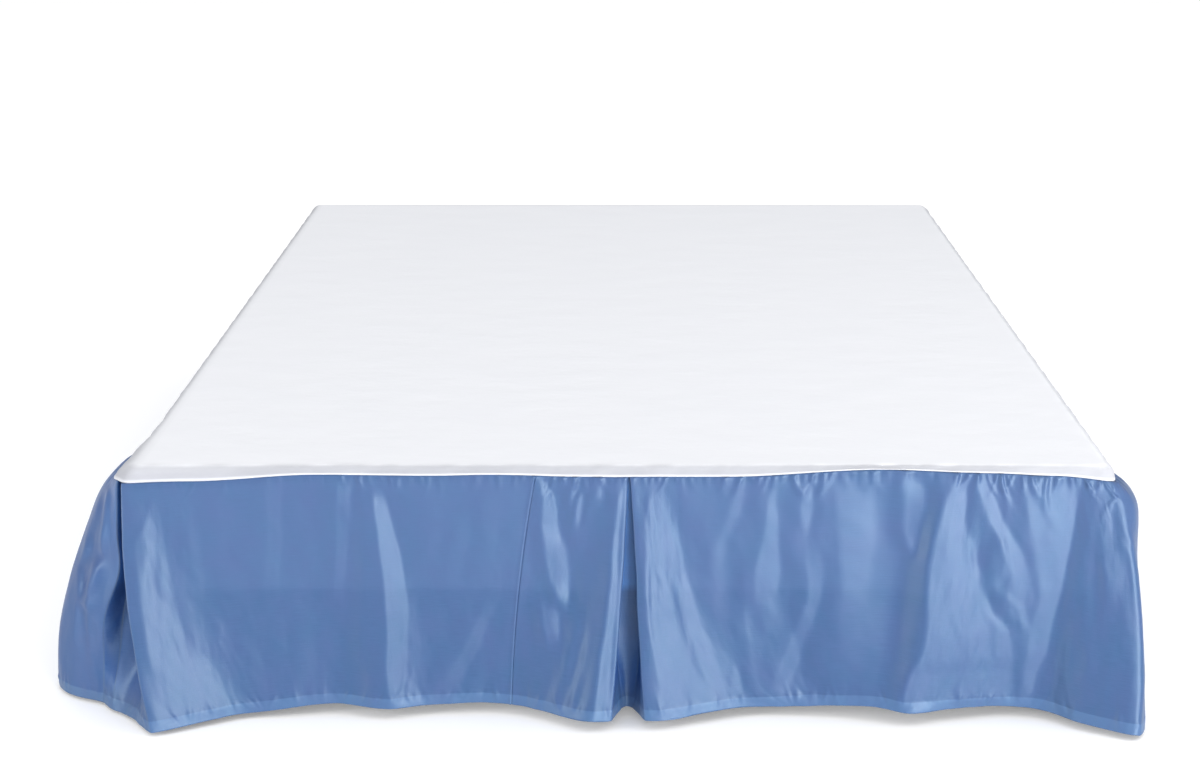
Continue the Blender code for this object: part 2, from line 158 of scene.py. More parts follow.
# The hidden sides. Back is the way back from the foot, drift how far the fold leans
# back by the hem, out its depth at the hem, and share how much of that it has half way.
SideFold = namedtuple("SideFold", "back drift out share name", defaults=("",))
LEFT_FOLDS = (
    SideFold(2.032, 0.000, 0.034, 0.50, "left_end"),
    SideFold(1.900, 0.020, 0.066, 0.50),
    SideFold(1.760, 0.010, 0.016, 0.45),
    SideFold(1.610, -0.015, 0.058, 0.55),
    SideFold(1.490, 0.000, 0.024, 0.50),
    SideFold(1.320, 0.030, 0.088, 0.50),
    SideFold(1.150, 0.000, 0.016, 0.45),
    SideFold(1.010, -0.020, 0.050, 0.60),
    SideFold(0.890, 0.000, 0.022, 0.50),
    SideFold(0.750, 0.020, 0.078, 0.50),
    SideFold(0.580, 0.000, 0.016, 0.50, "left_join"),
    SideFold(0.450, -0.015, 0.066, 0.60),
    SideFold(0.320, -0.005, 0.030, 0.60),
    SideFold(0.225, 0.010, 0.108, 0.75),
)
RIGHT_FOLDS = (
    SideFold(0.165, -0.030, 0.050, 0.80),
    SideFold(0.270, 0.005, 0.022, 0.60, "right_join"),
    SideFold(0.400, 0.020, 0.072, 0.55),
    SideFold(0.560, 0.000, 0.018, 0.50),
    SideFold(0.690, -0.015, 0.050, 0.60),
    SideFold(0.830, 0.000, 0.024, 0.50),
    SideFold(1.000, 0.020, 0.092, 0.50),
    SideFold(1.180, 0.030, 0.145, 0.50),
    SideFold(1.330, 0.010, 0.030, 0.45),
    SideFold(1.480, -0.010, 0.062, 0.55),
    SideFold(1.620, 0.000, 0.020, 0.50, "right_head_join"),
    SideFold(1.760, 0.020, 0.074, 0.50),
    SideFold(1.910, 0.000, 0.024, 0.50),
    SideFold(2.032, 0.005, 0.048, 0.50, "right_end"),
)

# Each width of cloth runs from one join to the next.
WIDTHS = (
    ("drop_left_head", "left_end", "left_join"),
    ("drop_left_corner", "left_join", "foot_join"),
    ("drop_foot", "foot_join", "right_join"),
    ("drop_right_side", "right_join", "right_head_join"),
    ("drop_right_head", "right_head_join", "right_end"),
)
JOINS = ("left_join", "foot_join", "right_join", "right_head_join")
ENDS = ("left_end", "right_end")

# Folds inside a pleat have names with these endings. A return is the strip of cloth
# that comes back from a pleat's inside to its edge.
INNER_FOLDS = ("crease", "valley", "return")
RETURNS = (
    ("left_foot_crease", "left_foot_lip"),
    ("middle_left_lip", "middle_left_crease"),
    ("middle_right_crease", "middle_right_lip"),
)

# Painted bounce light: inside the pleats and on the left corner's side the cloth is painted a
# deeper blue, much brighter above the base's edge, for light that bounces between the blue cloth
# and passes through it. The numbers are the share of a pleat's inside and of the left corner's
# side, and where that ends, as levels and as a distance behind the lip.
SIDE_PAINTED_BOUNCE = 0.65
INNER_FADE = (0.88, 0.97)
RETURN_FADE = (0.84, 0.92)
SIDE_FADE = (0.10, 0.30)

# ---- the drop's details
# Bands of the foot where the cloth turns to the right and takes the light, between a
# left and a right edge of (level, x) points, with levels from 0 at the seam to 1 at the
# hem. Inside one the cloth faces that many degrees to the right. It climbs to the band
# over the rise's width, comes back to its main fold over the rest's width, and the band
# fades in and out over the fades' share of its length. Fall is how far it may go back
# or come forward across the band.
Band = namedtuple("Band", "name left right facing rise rest fades fall", defaults=(0.009,))
BANDS = (
    Band("corner",
         ((0.05, -0.716), (0.15, -0.724), (0.24, -0.742), (0.31, -0.742), (0.44, -0.738),
          (0.53, -0.734), (0.68, -0.726), (0.77, -0.717), (0.87, -0.708), (1.00, -0.697)),
         ((0.05, -0.707), (0.15, -0.704), (0.27, -0.699), (0.35, -0.694), (0.49, -0.688),
          (0.59, -0.676), (0.70, -0.668), (0.76, -0.649), (0.84, -0.639), (1.00, -0.625)),
         26, 0.014, 0.060, (0.20, 0.05), 0.0062),
    Band("left_faint",
         ((-0.05, -0.544), (0.27, -0.542), (0.66, -0.560)),
         ((-0.05, -0.514), (0.27, -0.519), (0.66, -0.535)),
         8, 0.030, 0.040, (0.20, 0.40)),
    Band("left_fainter",
         ((-0.05, -0.430), (0.28, -0.437), (0.66, -0.450)),
         ((-0.05, -0.408), (0.27, -0.415), (0.66, -0.430)),
         11, 0.030, 0.030, (0.20, 0.50)),
    Band("streak",
         ((0.04, -0.380), (0.10, -0.378), (0.16, -0.375), (0.31, -0.369), (0.44, -0.365),
          (0.55, -0.364), (0.69, -0.361), (0.77, -0.362), (0.85, -0.364), (1.00, -0.358)),
         ((0.04, -0.364), (0.10, -0.359), (0.19, -0.351), (0.31, -0.341), (0.40, -0.335),
          (0.57, -0.328), (0.69, -0.329), (0.78, -0.330), (0.87, -0.335), (1.00, -0.346)),
         24, 0.070, 0.070, (0.10, 0.04), 0.0230),
    Band("streak_foot",
         ((0.80, -0.324), (0.87, -0.326), (1.00, -0.330)),
         ((0.80, -0.322), (0.87, -0.319), (1.00, -0.308)),
         20, 0.010, 0.010, (0.30, 0.20)),
    Band("diagonal",
         ((0.52, -0.205), (0.62, -0.219), (0.73, -0.240), (0.98, -0.296)),
         ((0.52, -0.190), (0.62, -0.201), (0.74, -0.216), (0.98, -0.262)),
         12, 0.040, 0.035, (0.30, 0.35)),
    Band("join_band",
         ((-0.03, -0.124), (0.02, -0.122), (0.11, -0.116), (0.20, -0.122), (0.25, -0.118),
          (0.38, -0.113), (0.44, -0.108), (0.50, -0.096), (0.62, -0.082)),
         ((-0.03, -0.119), (0.02, -0.113), (0.08, -0.101), (0.16, -0.094), (0.24, -0.092),
          (0.31, -0.079), (0.40, -0.078), (0.54, -0.079), (0.62, -0.076)),
         20, 0.020, 0.030, (0.10, 0.25)),
    Band("join_low",
         ((0.50, -0.125), (0.55, -0.123), (0.78, -0.110)),
         ((0.50, -0.098), (0.54, -0.094), (0.78, -0.090)),
         13, 0.020, 0.020, (0.30, 0.50)),
    Band("small_a",
         ((-0.03, -0.060), (0.06, -0.073), (0.16, -0.082)),
         ((-0.03, -0.052), (0.05, -0.063), (0.16, -0.076)),
         17, 0.012, 0.010, (0.20, 0.40)),
    Band("small_b",
         ((0.05, -0.062), (0.08, -0.063), (0.24, -0.074)),
         ((0.05, -0.055), (0.08, -0.054), (0.24, -0.062)),
         18, 0.012, 0.010, (0.25, 0.40)),
    Band("small_c",
         ((-0.03, -0.030), (0.02, -0.032), (0.14, -0.040)),
         ((-0.03, -0.020), (0.02, -0.021), (0.14, -0.024)),
         14, 0.014, 0.010, (0.20, 0.50)),
    Band("line_a",
         ((0.34, -0.050), (0.40, -0.053), (0.61, -0.064), (0.77, -0.080), (1.00, -0.108)),
         ((0.34, -0.038), (0.40, -0.040), (0.61, -0.052), (0.76, -0.067), (1.00, -0.095)),
         -8, 0.014, 0.014, (0.40, 0.10), 0.003),
    Band("line_b",
         ((0.48, -0.040), (0.57, -0.044), (0.76, -0.053), (1.00, -0.080)),
         ((0.48, -0.030), (0.55, -0.033), (0.76, -0.041), (1.00, -0.068)),
         -8, 0.010, 0.012, (0.40, 0.10), 0.0025),
    Band("pleat_edge",
         ((0.00, 0.005), (0.17, -0.003), (0.30, -0.010), (0.46, -0.013), (0.62, -0.020),
          (0.74, -0.028), (0.87, -0.034), (1.00, -0.042)),
         ((0.00, 0.009), (0.17, 0.002), (0.30, -0.001), (0.46, -0.003), (0.65, -0.009),
          (0.74, -0.012), (0.87, -0.016), (1.00, -0.022)),
         20, 0.035, 0.000, (0.10, 0.00)),
    Band("middle",
         ((0.00, 0.056), (0.15, 0.040), (0.28, 0.040), (0.43, 0.042), (0.59, 0.045),
          (0.74, 0.054), (0.87, 0.064), (1.00, 0.078)),
         ((0.00, 0.062), (0.13, 0.079), (0.30, 0.095), (0.46, 0.112), (0.62, 0.125),
          (0.74, 0.143), (0.88, 0.160), (1.00, 0.172)),
         20, 0.014, 0.050, (0.24, 0.00), 0.0080),
    Band("right_start",
         ((-0.03, 0.167), (0.05, 0.159), (0.09, 0.157)),
         ((-0.03, 0.176), (0.05, 0.167), (0.09, 0.163)),
         16, 0.010, 0.008, (0.30, 0.40)),
    Band("right_a",
         ((-0.03, 0.188), (0.09, 0.176), (0.17, 0.168), (0.27, 0.154), (0.52, 0.112)),
         ((-0.03, 0.194), (0.09, 0.193), (0.17, 0.185), (0.27, 0.170), (0.52, 0.142)),
         10, 0.020, 0.024, (0.10, 0.70)),
    Band("right_b",
         ((-0.03, 0.246), (0.07, 0.234), (0.12, 0.230), (0.19, 0.226), (0.30, 0.219),
          (0.39, 0.210), (0.62, 0.212)),
         ((-0.03, 0.254), (0.06, 0.242), (0.12, 0.242), (0.20, 0.246), (0.31, 0.248),
          (0.42, 0.251), (0.62, 0.236)),
         11, 0.030, 0.022, (0.10, 0.35)),
    Band("right_c",
         ((0.03, 0.284), (0.07, 0.283), (0.15, 0.279), (0.30, 0.286)),
         ((0.03, 0.294), (0.07, 0.299), (0.15, 0.299), (0.30, 0.291)),
         12, 0.022, 0.016, (0.15, 0.35)),
    Band("right_slant",
         ((0.22, 0.280), (0.43, 0.292), (0.54, 0.293), (0.66, 0.276), (0.80, 0.259),
          (1.00, 0.228)),
         ((0.22, 0.304), (0.43, 0.318), (0.54, 0.315), (0.66, 0.300), (0.80, 0.282),
          (1.00, 0.250)),
         11, 0.036, 0.030, (0.40, 0.20)),
    Band("right_low",
         ((0.80, 0.180), (0.95, 0.177)),
         ((0.80, 0.188), (0.95, 0.194)),
         15, 0.012, 0.010, (0.40, 0.20)),
    Band("right_plain",
         ((0.30, 0.190), (0.60, 0.195), (1.00, 0.215)),
         ((0.30, 0.270), (0.60, 0.265), (1.00, 0.300)),
         5, 0.030, 0.060, (0.40, 0.10), 0.010),
    Band("swell",
         ((0.02, 0.330), (0.28, 0.341), (0.62, 0.352)),
         ((0.02, 0.392), (0.30, 0.399), (0.62, 0.380)),
         8.0, 0.040, 0.030, (0.20, 0.45)),
    Band("spike",
         ((-0.03, 0.438), (0.17, 0.438), (0.25, 0.439), (0.38, 0.451)),
         ((-0.03, 0.452), (0.08, 0.472), (0.13, 0.473), (0.24, 0.464), (0.38, 0.457)),
         12, 0.024, 0.022, (0.08, 0.20)),
    Band("crest",
         ((-0.03, 0.512), (0.03, 0.509), (0.15, 0.497), (0.28, 0.485), (0.40, 0.478),
          (0.53, 0.476), (0.68, 0.475), (0.77, 0.468), (0.83, 0.453), (1.00, 0.436)),
         ((-0.03, 0.534), (0.04, 0.534), (0.19, 0.531), (0.28, 0.544), (0.44, 0.555),
          (0.57, 0.577), (0.66, 0.603), (0.77, 0.616), (1.00, 0.622)),
         10.5, 0.040, 0.022, (0.08, 0.05), 0.016),
    Band("patch_high",
         ((0.22, 0.560), (0.27, 0.556), (0.35, 0.553), (0.42, 0.563), (0.46, 0.572)),
         ((0.22, 0.574), (0.27, 0.583), (0.35, 0.592), (0.42, 0.590), (0.46, 0.584)),
         -5, 0.014, 0.012, (0.25, 0.25), 0.0045),
    Band("patch_low",
         ((0.47, 0.568), (0.51, 0.571), (0.58, 0.582), (0.64, 0.606), (0.68, 0.618)),
         ((0.47, 0.584), (0.50, 0.593), (0.55, 0.618), (0.64, 0.626), (0.68, 0.628)),
         -5, 0.012, 0.010, (0.25, 0.25), 0.0045),
    Band("third",
         ((-0.03, 0.540), (0.04, 0.545), (0.20, 0.567), (0.27, 0.588), (0.39, 0.604),
          (0.60, 0.622)),
         ((-0.03, 0.562), (0.03, 0.568), (0.16, 0.585), (0.25, 0.604), (0.31, 0.622),
          (0.42, 0.636), (0.60, 0.646)),
         11, 0.020, 0.012, (0.08, 0.20)),
    Band("wide",
         ((-0.03, 0.614), (0.19, 0.629), (0.30, 0.638), (0.42, 0.648), (0.54, 0.650),
          (0.69, 0.640), (1.00, 0.625)),
         ((-0.03, 0.707), (0.14, 0.702), (0.27, 0.697), (0.38, 0.690), (0.47, 0.686),
          (0.57, 0.678), (0.62, 0.673), (0.76, 0.667), (0.84, 0.654), (1.00, 0.645)),
         8, 0.022, 0.020, (0.08, 0.10)),
    Band("corner_plain",
         ((0.04, 0.733), (0.15, 0.737), (0.30, 0.742), (0.52, 0.748)),
         ((0.04, 0.757), (0.15, 0.769), (0.30, 0.779), (0.52, 0.785)),
         -6, 0.012, 0.005, (0.25, 0.40), 0.0045),
)
# The same on the left corner's side, between its silhouette and its lip.
SIDE_BANDS = (
    Band("ridge",
         ((0.03, -0.801), (0.13, -0.817), (0.19, -0.822), (0.28, -0.842), (0.34, -0.842),
          (0.42, -0.861), (0.50, -0.857), (0.56, -0.858)),
         ((0.03, -0.793), (0.13, -0.808), (0.19, -0.812), (0.27, -0.831), (0.34, -0.832),
          (0.40, -0.849), (0.50, -0.849), (0.56, -0.849)),
         -20, 0.000, 0.028, (0.10, 0.10), 0.0050),
    Band("facet",
         ((0.34, -0.840), (0.42, -0.846), (0.53, -0.848)),
         ((0.34, -0.824), (0.42, -0.826), (0.53, -0.836)),
         -44, 0.000, 0.020, (0.25, 0.25), 0.004),
    Band("blob",
         ((0.56, -0.862), (0.66, -0.866), (0.80, -0.870)),
         ((0.56, -0.846), (0.66, -0.845), (0.80, -0.852)),
         -20, 0.000, 0.028, (0.15, 0.60), 0.0055),
    Band("upper_lip",
         ((0.04, -0.797), (0.12, -0.798), (0.21, -0.801), (0.34, -0.807)),
         ((0.04, -0.788), (0.12, -0.788), (0.21, -0.790), (0.34, -0.794)),
         -20, 0.012, 0.000, (0.15, 0.10), 0.005),
    Band("lower_lip",
         ((0.34, -0.808), (0.42, -0.818), (0.50, -0.832), (0.66, -0.840), (0.76, -0.838),
          (0.88, -0.832), (1.00, -0.830)),
         ((0.34, -0.790), (0.42, -0.796), (0.50, -0.806), (0.66, -0.812), (0.76, -0.814),
          (0.88, -0.816), (1.00, -0.818)),
         -20, 0.016, 0.000, (0.10, 0.10), 0.008),
)
BAND_EDGE = 0.0045      # how softly a band's edges turn
BAND_RIM = 0.28         # how much more the cloth turns along a band's edges
RIM_WIDTH = 0.0035
WOBBLE = 0.0011         # how far a band's edges stray
WOBBLES = (2, 5, 8, 13)     # and how often along it
STEEPEST_FOOT, STEEPEST_SIDE = 0.6, 1.6     # slope of the cloth, out per distance across
MOST_TURNED_BACK = -0.3     # the least that a band may turn the cloth, as a slope
REST_SOFT = 0.42        # how soft the rise's and the rest's ends are, per their width
SHORTEST_FADE = 1e-3

# Kinks of the left corner's folds: the fold, the level of each, how much of the drop it
# takes, how far the fold moves to the right and to the front there, and how much of the
# cloth beside it moves with it.
SWAYS = (
    ("left_side_lip", 0.12, 0.14, 0.012, 0.010, 0.045),
    ("left_side_lip", 0.37, 0.15, 0.019, 0.006, 0.045),
    ("left_side_lip", 0.62, 0.12, -0.004, 0.000, 0.045),
    ("left_valley", 0.66, 0.20, 0.030, -0.010, 0.020),
    ("left_foot_crease", 0.72, 0.17, 0.034, -0.004, 0.020),
)

# Sharp little creases by the right corner: a line of (level, x) points and a height.
SMALL_CREASES = (
    (((0.050, 0.752), (0.062, 0.758), (0.105, 0.746), (0.145, 0.738)), 0.0019),
    (((0.262, 0.752), (0.250, 0.772), (0.228, 0.790)), 0.0014),
    (((0.018, 0.716), (0.048, 0.724)), 0.0016),
)
SMALL_CREASE_WIDTH = 0.0022

# How strongly the cloth is gathered into the seam, by place.
GATHER_ROWS = (
    (-2.80, 0.8),
    (-0.95, 0.8),
    (-0.78, 0.2),
    (-0.50, 0.25),
    (-0.36, 0.6),
    (-0.15, 0.5),
    (-0.05, 0.7),
    (0.12, 0.35),
    (0.20, 0.8),
    (0.45, 1.0),
    (0.72, 1.0),
    (0.80, 0.6),
    (2.80, 0.8),
)
GATHER_SPACING = (0.006, 0.017)
GATHER_WIDTH = (0.0020, 0.0042)
GATHER_LENGTH = (0.008, 0.022)
GATHER_LENGTHENS = (0.5, 0.7)   # length where there is no force, and what force adds
LONG_GATHERS = (0.2, 1.9)       # share that runs on, and how much longer it is
GATHER_HEIGHT = 0.0050
LEAST_GATHER = 0.35             # share of that height
GATHER_SLANT = 0.30             # sideways per distance down
GATHER_BEND = 14                # and how fast that grows
GATHER_STARTS = (-0.002, 0.004)
GATHER_DOUBLES = 0.045          # twice as wide this far down

# The cloth's random waves: how many, the longest, the shortest, and how straight down
# the cloth they run.
WAVES = (60, 0.110, 0.030, 3.0)
RIPPLES = (70, 0.026, 0.009, 1.5)
WAVE_HEIGHT = 0.0010
RIPPLE_HEIGHT = 0.00012
WAVES_FULL = 0.06       # this far below the seam
CRUMPLE_HEIGHT = 0.00028
CRUMPLE_FRONT = (-0.03, -0.01)  # in front of the foot: none up to here, all from here
CRUMPLES = (            # level, x, height as a share of the drop, width
    (0.72, -0.60, 0.16, 0.060),
    (0.60, 0.615, 0.10, 0.030),
    (0.80, 0.560, 0.14, 0.050),
    (0.90, -0.33, 0.06, 0.040),
    (0.93, 0.52, 0.05, 0.080),
)

HEM_STANDS = 0.0003     # how far the hem's extra layers push the cloth out
HEM_EDGE = (-0.003, 0.001)      # and where that ends, from its stitch line
PUCKER_SPACING = (0.006, 0.022)
PUCKER_WIDTH = (0.003, 0.007)
PUCKER_REACH = (0.004, 0.014)   # up from the stitch line
PUCKER_REACH_DOWN = 0.008
PUCKER_SLANT = 0.6      # sideways per distance up
PUCKER_HEIGHT = 0.0024
LEAST_PUCKER = 0.2      # share of that height, before most are lowered by the power below
PUCKER_POWER = 1.5
PUCKER_DENT = -0.7      # height of one that goes in, as a share of one that stands out
JOIN_RISES = (          # height, place and width: the groove, and the edge beside it
    (-0.0009, 0.0, 0.0009),
    (0.0009, -0.0028, 0.0016),
)

# Painted show-through: the drop is painted lighter where the lit base is close behind it, and
# darker below the base's edge, where only the shade under the bed lies behind. The numbers are the
# sharpest that edge gets, how much it blurs with the gap between them, and the gap at which it
# starts and fades.
PAINTED_SHOW_THROUGH_SHARP = 0.0010
PAINTED_SHOW_THROUGH_BLUR = 0.15
PAINTED_SHOW_THROUGH_GAP = 0.014
PAINTED_SHOW_THROUGH_FADE = 0.022

# ---- the deck
EDGE_RINGS = 12
EDGE_COLUMN = 0.004
INNER_RING = 0.009      # from the roll in to the flat top's own ring of points
PULL_WIDTH = 0.012      # the drop's small folds don't pull the deck's edge along
EDGE_WAVES = (40, 0.120, 0.018)     # how many, the longest and the shortest
EDGE_WAVE_HEIGHT = 0.0001423
EDGE_WAVE_GROWTH = 0.7  # how fast a wave's height grows with its length
EDGE_WAVE_CROWN = 0.7   # and how fast down the roll, from its top and from the seam
BEAD = 0.0010           # how far the seam's turned edges push the deck's cloth out
BEAD_AT = 0.93          # share of the way down the roll
BEAD_WIDTH = 0.05
BEAD_PAINTED_HIGHLIGHT = 0.4        # how white the turned edges stay against the roll's painted shade: a painted highlight

# Painted shade on the deck's rolled edge: the share still painted white, from its top down; the
# rest takes the darker painted shade.
ROLL_PAINTED_WHITE = (
    (0.0, 0.90), (0.08, 0.80), (0.17, 0.57), (0.25, 0.38),
    (0.34, 0.21), (0.50, 0.11), (0.70, 0.0), (1.0, 0.0),
)
RIGHT_PAINTED_LIGHT = (0.06, 0.14)      # painted light toward the right, where the light falls: how much all the way down, and at the top
RIGHT_PAINTED_LIGHT_FROM = (0.0, 0.5)   # places along the edge
RIGHT_PAINTED_LIGHT_TOP = (0.15, 0.45)        # share of the way down the roll

# ---- colours
SATIN_BLUE = (0.023, 0.060, 0.148)
# painted show-through: lighter where the lit base is close behind the thin cloth
SATIN_PAINTED_SHOW_THROUGH = (0.036, 0.076, 0.172)
# painted bounce light inside the pleats: a deeper blue, much brighter where the base is behind
SATIN_PAINTED_BOUNCE = (0.004, 0.045, 0.172)
SATIN_PAINTED_BOUNCE_LIT = (0.028, 0.129, 0.390)
SATIN_HEM = (0.045, 0.100, 0.206)
# painted shadow just under the seam
SATIN_SEAM_PAINTED_SHADOW = (0.011, 0.042, 0.113)
SATIN_SLUB = (0.050, 0.108, 0.233)
SATIN_BLOTCH = (0.049, 0.065, 0.178)
SATIN_GLOSS = {
    "Specular IOR Level": 0.62,
    "Specular Tint": (0.62, 0.82, 0.95, 1),
    "Anisotropic": 0.6,
    "Anisotropic Rotation": 0.25,
    "Coat Weight": 0.05,
    "Coat Roughness": 0.30,
}
SEAM_SHADE = 0.014      # how far below the seam the drop gets a painted shadow, under the deck's roll
STITCH_LINE = 0.0006    # half the width over which the hem's colour changes
DECK_WHITE = (0.765, 0.775, 0.81)
# painted shade of the deck's rolled edge
DECK_PAINTED_SHADE = (0.305, 0.311, 0.340)
# painted shade of the deck's soft creases
DECK_CREASE_PAINTED_SHADE = (0.70, 0.72, 0.77)
DECK_GLOSS = {"Specular IOR Level": 0.3}
BASE_GREY = (0.62, 0.61, 0.59)
BASE_FLECK = (0.50, 0.49, 0.47)
WOOD_LIGHT = (0.36, 0.23, 0.13)
WOOD_DARK = (0.19, 0.11, 0.06)
FLOOR_WHITE = (0.96, 0.96, 0.965)
WHITE = (1, 1, 1, 1)

# ---- camera and studio
CAMERA_BACK = 2.968     # from the foot of the bed
CAMERA_ABOVE_SEAM = 1.0243
CAMERA_PITCH = math.radians(16.455)
FOCAL_PIXELS = 2050
IMAGE_WIDTH = 1200
SENSOR = 36.0
CENTRE_LINE_PIXEL = 620     # the bed's middle in the picture
FLOOR_REACH = 30.0
FLOOR_GLOW = {"Emission Color": WHITE, "Emission Strength": 0.10}
WORLD_SIDE = 0.48       # strength of the sky at the horizon
WORLD_TOP = 1.07        # and from WORLD_TOP_FROM of the way up its ball
WORLD_TOP_FROM = 0.8
LIGHTS = (              # name, place, target, size, power
    ("key", (4.2, FOOT_Y - 5.6, 0.65), (0.0, FOOT_Y, 0.2), (3.6, 1.1), 560),
    ("fill", (1.6, FOOT_Y - 5.5, 1.3), (0.0, FOOT_Y, 0.2), (3.5, 3.0), 90),
    ("left", (-4.5, FOOT_Y - 2.0, 1.2), (-0.8, FOOT_Y, 0.2), (1.0, 2.0), 110),
    ("above", (2.4, FOOT_Y - 0.4, 2.3), (0.8, FOOT_Y + 0.4, 0.4), (1.6, 1.6), 15),
)


# ---- the bed's outline
def smooth_table(rows, place):
    """The rows' value at each place, eased from one row to the next."""
    places, values = np.array(rows).T
    place = np.clip(np.asarray(place, float), places[0], places[-1])
    upper = np.clip(np.searchsorted(places, place), 1, len(places) - 1)
    share = (place - places[upper - 1]) / (places[upper] - places[upper - 1])
    eased = share * share * (3 - 2 * share)
    return values[upper - 1] + (values[upper] - values[upper - 1]) * eased


def ease(value, low, high):
    """0 below low, 1 above high, eased between."""
    share = np.clip((np.asarray(value, float) - low) / (high - low), 0, 1)
    return share * share * (3 - 2 * share)


def seam_rise(place):
    """How far the seam rises above its nominal height."""
    return smooth_table(SEAM_ROWS, place)


def roll_angle(place):
    """How far round the deck's rolled edge the seam lies, from 0 at the top."""
    return np.arccos(1 - (SEAM_BELOW_DECK - seam_rise(place)) / ROLL_RADIUS)


def roll_inset(angle):
    """How far inside the outline a point of the rolled edge is."""
    return ROLL_RADIUS * (1 - np.sin(angle))


def edge_point(place):
    """The bed's outline in plan at each place, and its outward direction."""
    place = np.asarray(place, float)
    side = np.copysign(1.0, place)
    past_arc = np.abs(place) - (HALF_WIDTH - CORNER_RADIUS)
    turned = np.clip(past_arc / (2 * CORNER_RADIUS), 0, 1) * math.pi / 2
    outward = np.stack([side * np.sin(turned), -np.cos(turned)], -1)
    centre_x = side * np.minimum(np.abs(place), HALF_WIDTH - CORNER_RADIUS)
    centre_y = FOOT_Y + np.maximum(np.abs(place) - HALF_WIDTH, CORNER_RADIUS)
    return np.stack([centre_x, centre_y], -1) + outward * CORNER_RADIUS, outward


def seam_place(x, front):
    """The place along the bed's edge of a point at x that is front of the foot."""
    x, front = np.asarray(x, float), np.asarray(front, float)
    return np.where(HALF_WIDTH - np.abs(x) > -front, x, np.copysign(HALF_WIDTH - front, x))


# ---- the drop's surface
def side_fold(row, side):
    """A fold line on a side of the bed, in the same terms as those of the foot."""
    return Fold(
        name=row.name,
        top=(side * HALF_WIDTH, -row.back),
        mid=(side * (HALF_WIDTH + row.out * row.share), -row.back - row.drift / 2),
        hem=(side * (HALF_WIDTH + row.out), -row.back - row.drift),
    )


def all_folds():
    """Every fold line in order: left side from the head, foot, right side."""
    left = [side_fold(row, -1) for row in LEFT_FOLDS]
    right = [side_fold(row, 1) for row in RIGHT_FOLDS]
    return left + list(FOOT_FOLDS) + right


def fold_points(fold, levels):
    """Where a fold line is in plan at each level, from 0 at the seam to 1 at the hem."""
    place = seam_place(*fold.top)
    outward = edge_point(place)[1] if abs(place) > HALF_WIDTH else np.array((0.0, -1.0))
    top, mid, hem = (np.array((x, FOOT_Y - front)) for x, front in (fold.top, fold.mid, fold.hem))
    top = top - outward * roll_inset(roll_angle(place))
    level = levels[:, None]
    points = top * (1 - level) * (1 - 2 * level) + mid * 4 * level * (1 - level)
    points = points + hem * level * (2 * level - 1)
    if fold.puff:
        lean = (mid - top) / np.linalg.norm(mid - top)
        points = points + lean * fold.puff * level / PUFF_PEAK * np.exp(1 - level / PUFF_PEAK)
    return points


def unit(vectors):
    """The vectors, each with a length of 1."""
    return vectors / np.maximum(np.linalg.norm(vectors, axis=-1, keepdims=True), TINY)


def control_points(folds, levels):
    """The plan curves' control points, [level, control, xy], with each fold's index."""
    points = np.stack([fold_points(fold, levels) for fold in folds], 1)
    control, index = [], []
    for number, fold in enumerate(folds):
        index.append(len(control))
        here = points[:, number]
        if not fold.turn:
            control.append(here)
            continue
        before, after = points[:, number - 1], points[:, number + 1]
        inwards = unit(before - here) + unit(after - here)
        across = unit(np.stack([-inwards[:, 1], inwards[:, 0]], -1)) * fold.turn / 2
        across *= np.sign(np.sum(across * (before - after), -1, keepdims=True))
        control += [here + across, here - across]
    return np.stack(control, 1), index


def column_shares(hem, folds, index):
    """The drop's columns, each a span between two control points and a share of it."""
    spans, shares = [], []
    fold_at = {number: fold for number, fold in zip(index, folds)}
    lengths = np.linalg.norm(np.diff(hem, axis=0), axis=1)
    for span, length in enumerate(lengths):
        on_side = min(hem[span][1], hem[span + 1][1]) > FOOT_Y + SIDE_STARTS
        count = math.ceil(length / (SIDE_STEP if on_side else FOOT_STEP))
        cuts = {step / count for step in range(count)}
        if span in fold_at and fold_at[span].turn:
            cuts = {step / LIP_STEPS for step in range(LIP_STEPS)}
        for end, sign in ((span, 1), (span + 1, -1)):
            if end in fold_at and fold_at[end].name in JOINS + ENDS:
                edge = 0 if sign == 1 else 1
                clear = JOIN_CLEAR / length
                cuts = {cut for cut in cuts if cut == 0 or abs(cut - edge) > clear}
                cuts |= {edge + sign * step / length for step in JOIN_STEPS}
        for cut in sorted(cuts):
            spans.append(span)
            shares.append(cut)
    spans.append(len(lengths) - 1)
    shares.append(1.0)
    return np.array(spans), np.array(shares)


def between(first, last, t, low, high):
    """The point at t on the line from first, at low, to last, at high."""
    return first * (high - t) / (high - low) + last * (t - low) / (high - low)


def plan_curves(control, spans, shares):
    """The centripetal curves through the control points, [level, column, xy]."""
    first = 2 * control[:, :1] - control[:, 1:2]
    last = 2 * control[:, -1:] - control[:, -2:-1]
    ends = np.concatenate([first, control, last], 1)
    p0, p1, p2, p3 = (ends[:, spans + step] for step in range(4))
    pairs = ((p0, p1), (p1, p2), (p2, p3))
    gaps = [np.linalg.norm(b - a, axis=-1, keepdims=True) for a, b in pairs]
    knots = np.cumsum([np.sqrt(np.maximum(gap, SMALLEST_WIDTH)) for gap in gaps], 0)
    t0, (t1, t2, t3) = 0.0, knots
    t = t1 + (t2 - t1) * shares[None, :, None]
    a1, a2, a3 = between(p0, p1, t, t0, t1), between(p1, p2, t, t1, t2), between(p2, p3, t, t2, t3)
    return between(between(a1, a2, t, t0, t2), between(a2, a3, t, t1, t3), t, t1, t2)


def along(points):
    """The length along each row of points."""
    steps = np.linalg.norm(np.diff(points, axis=-2), axis=-1)
    start = np.zeros(steps.shape[:-1] + (1,))
    return np.concatenate([start, np.cumsum(steps, -1)], -1)


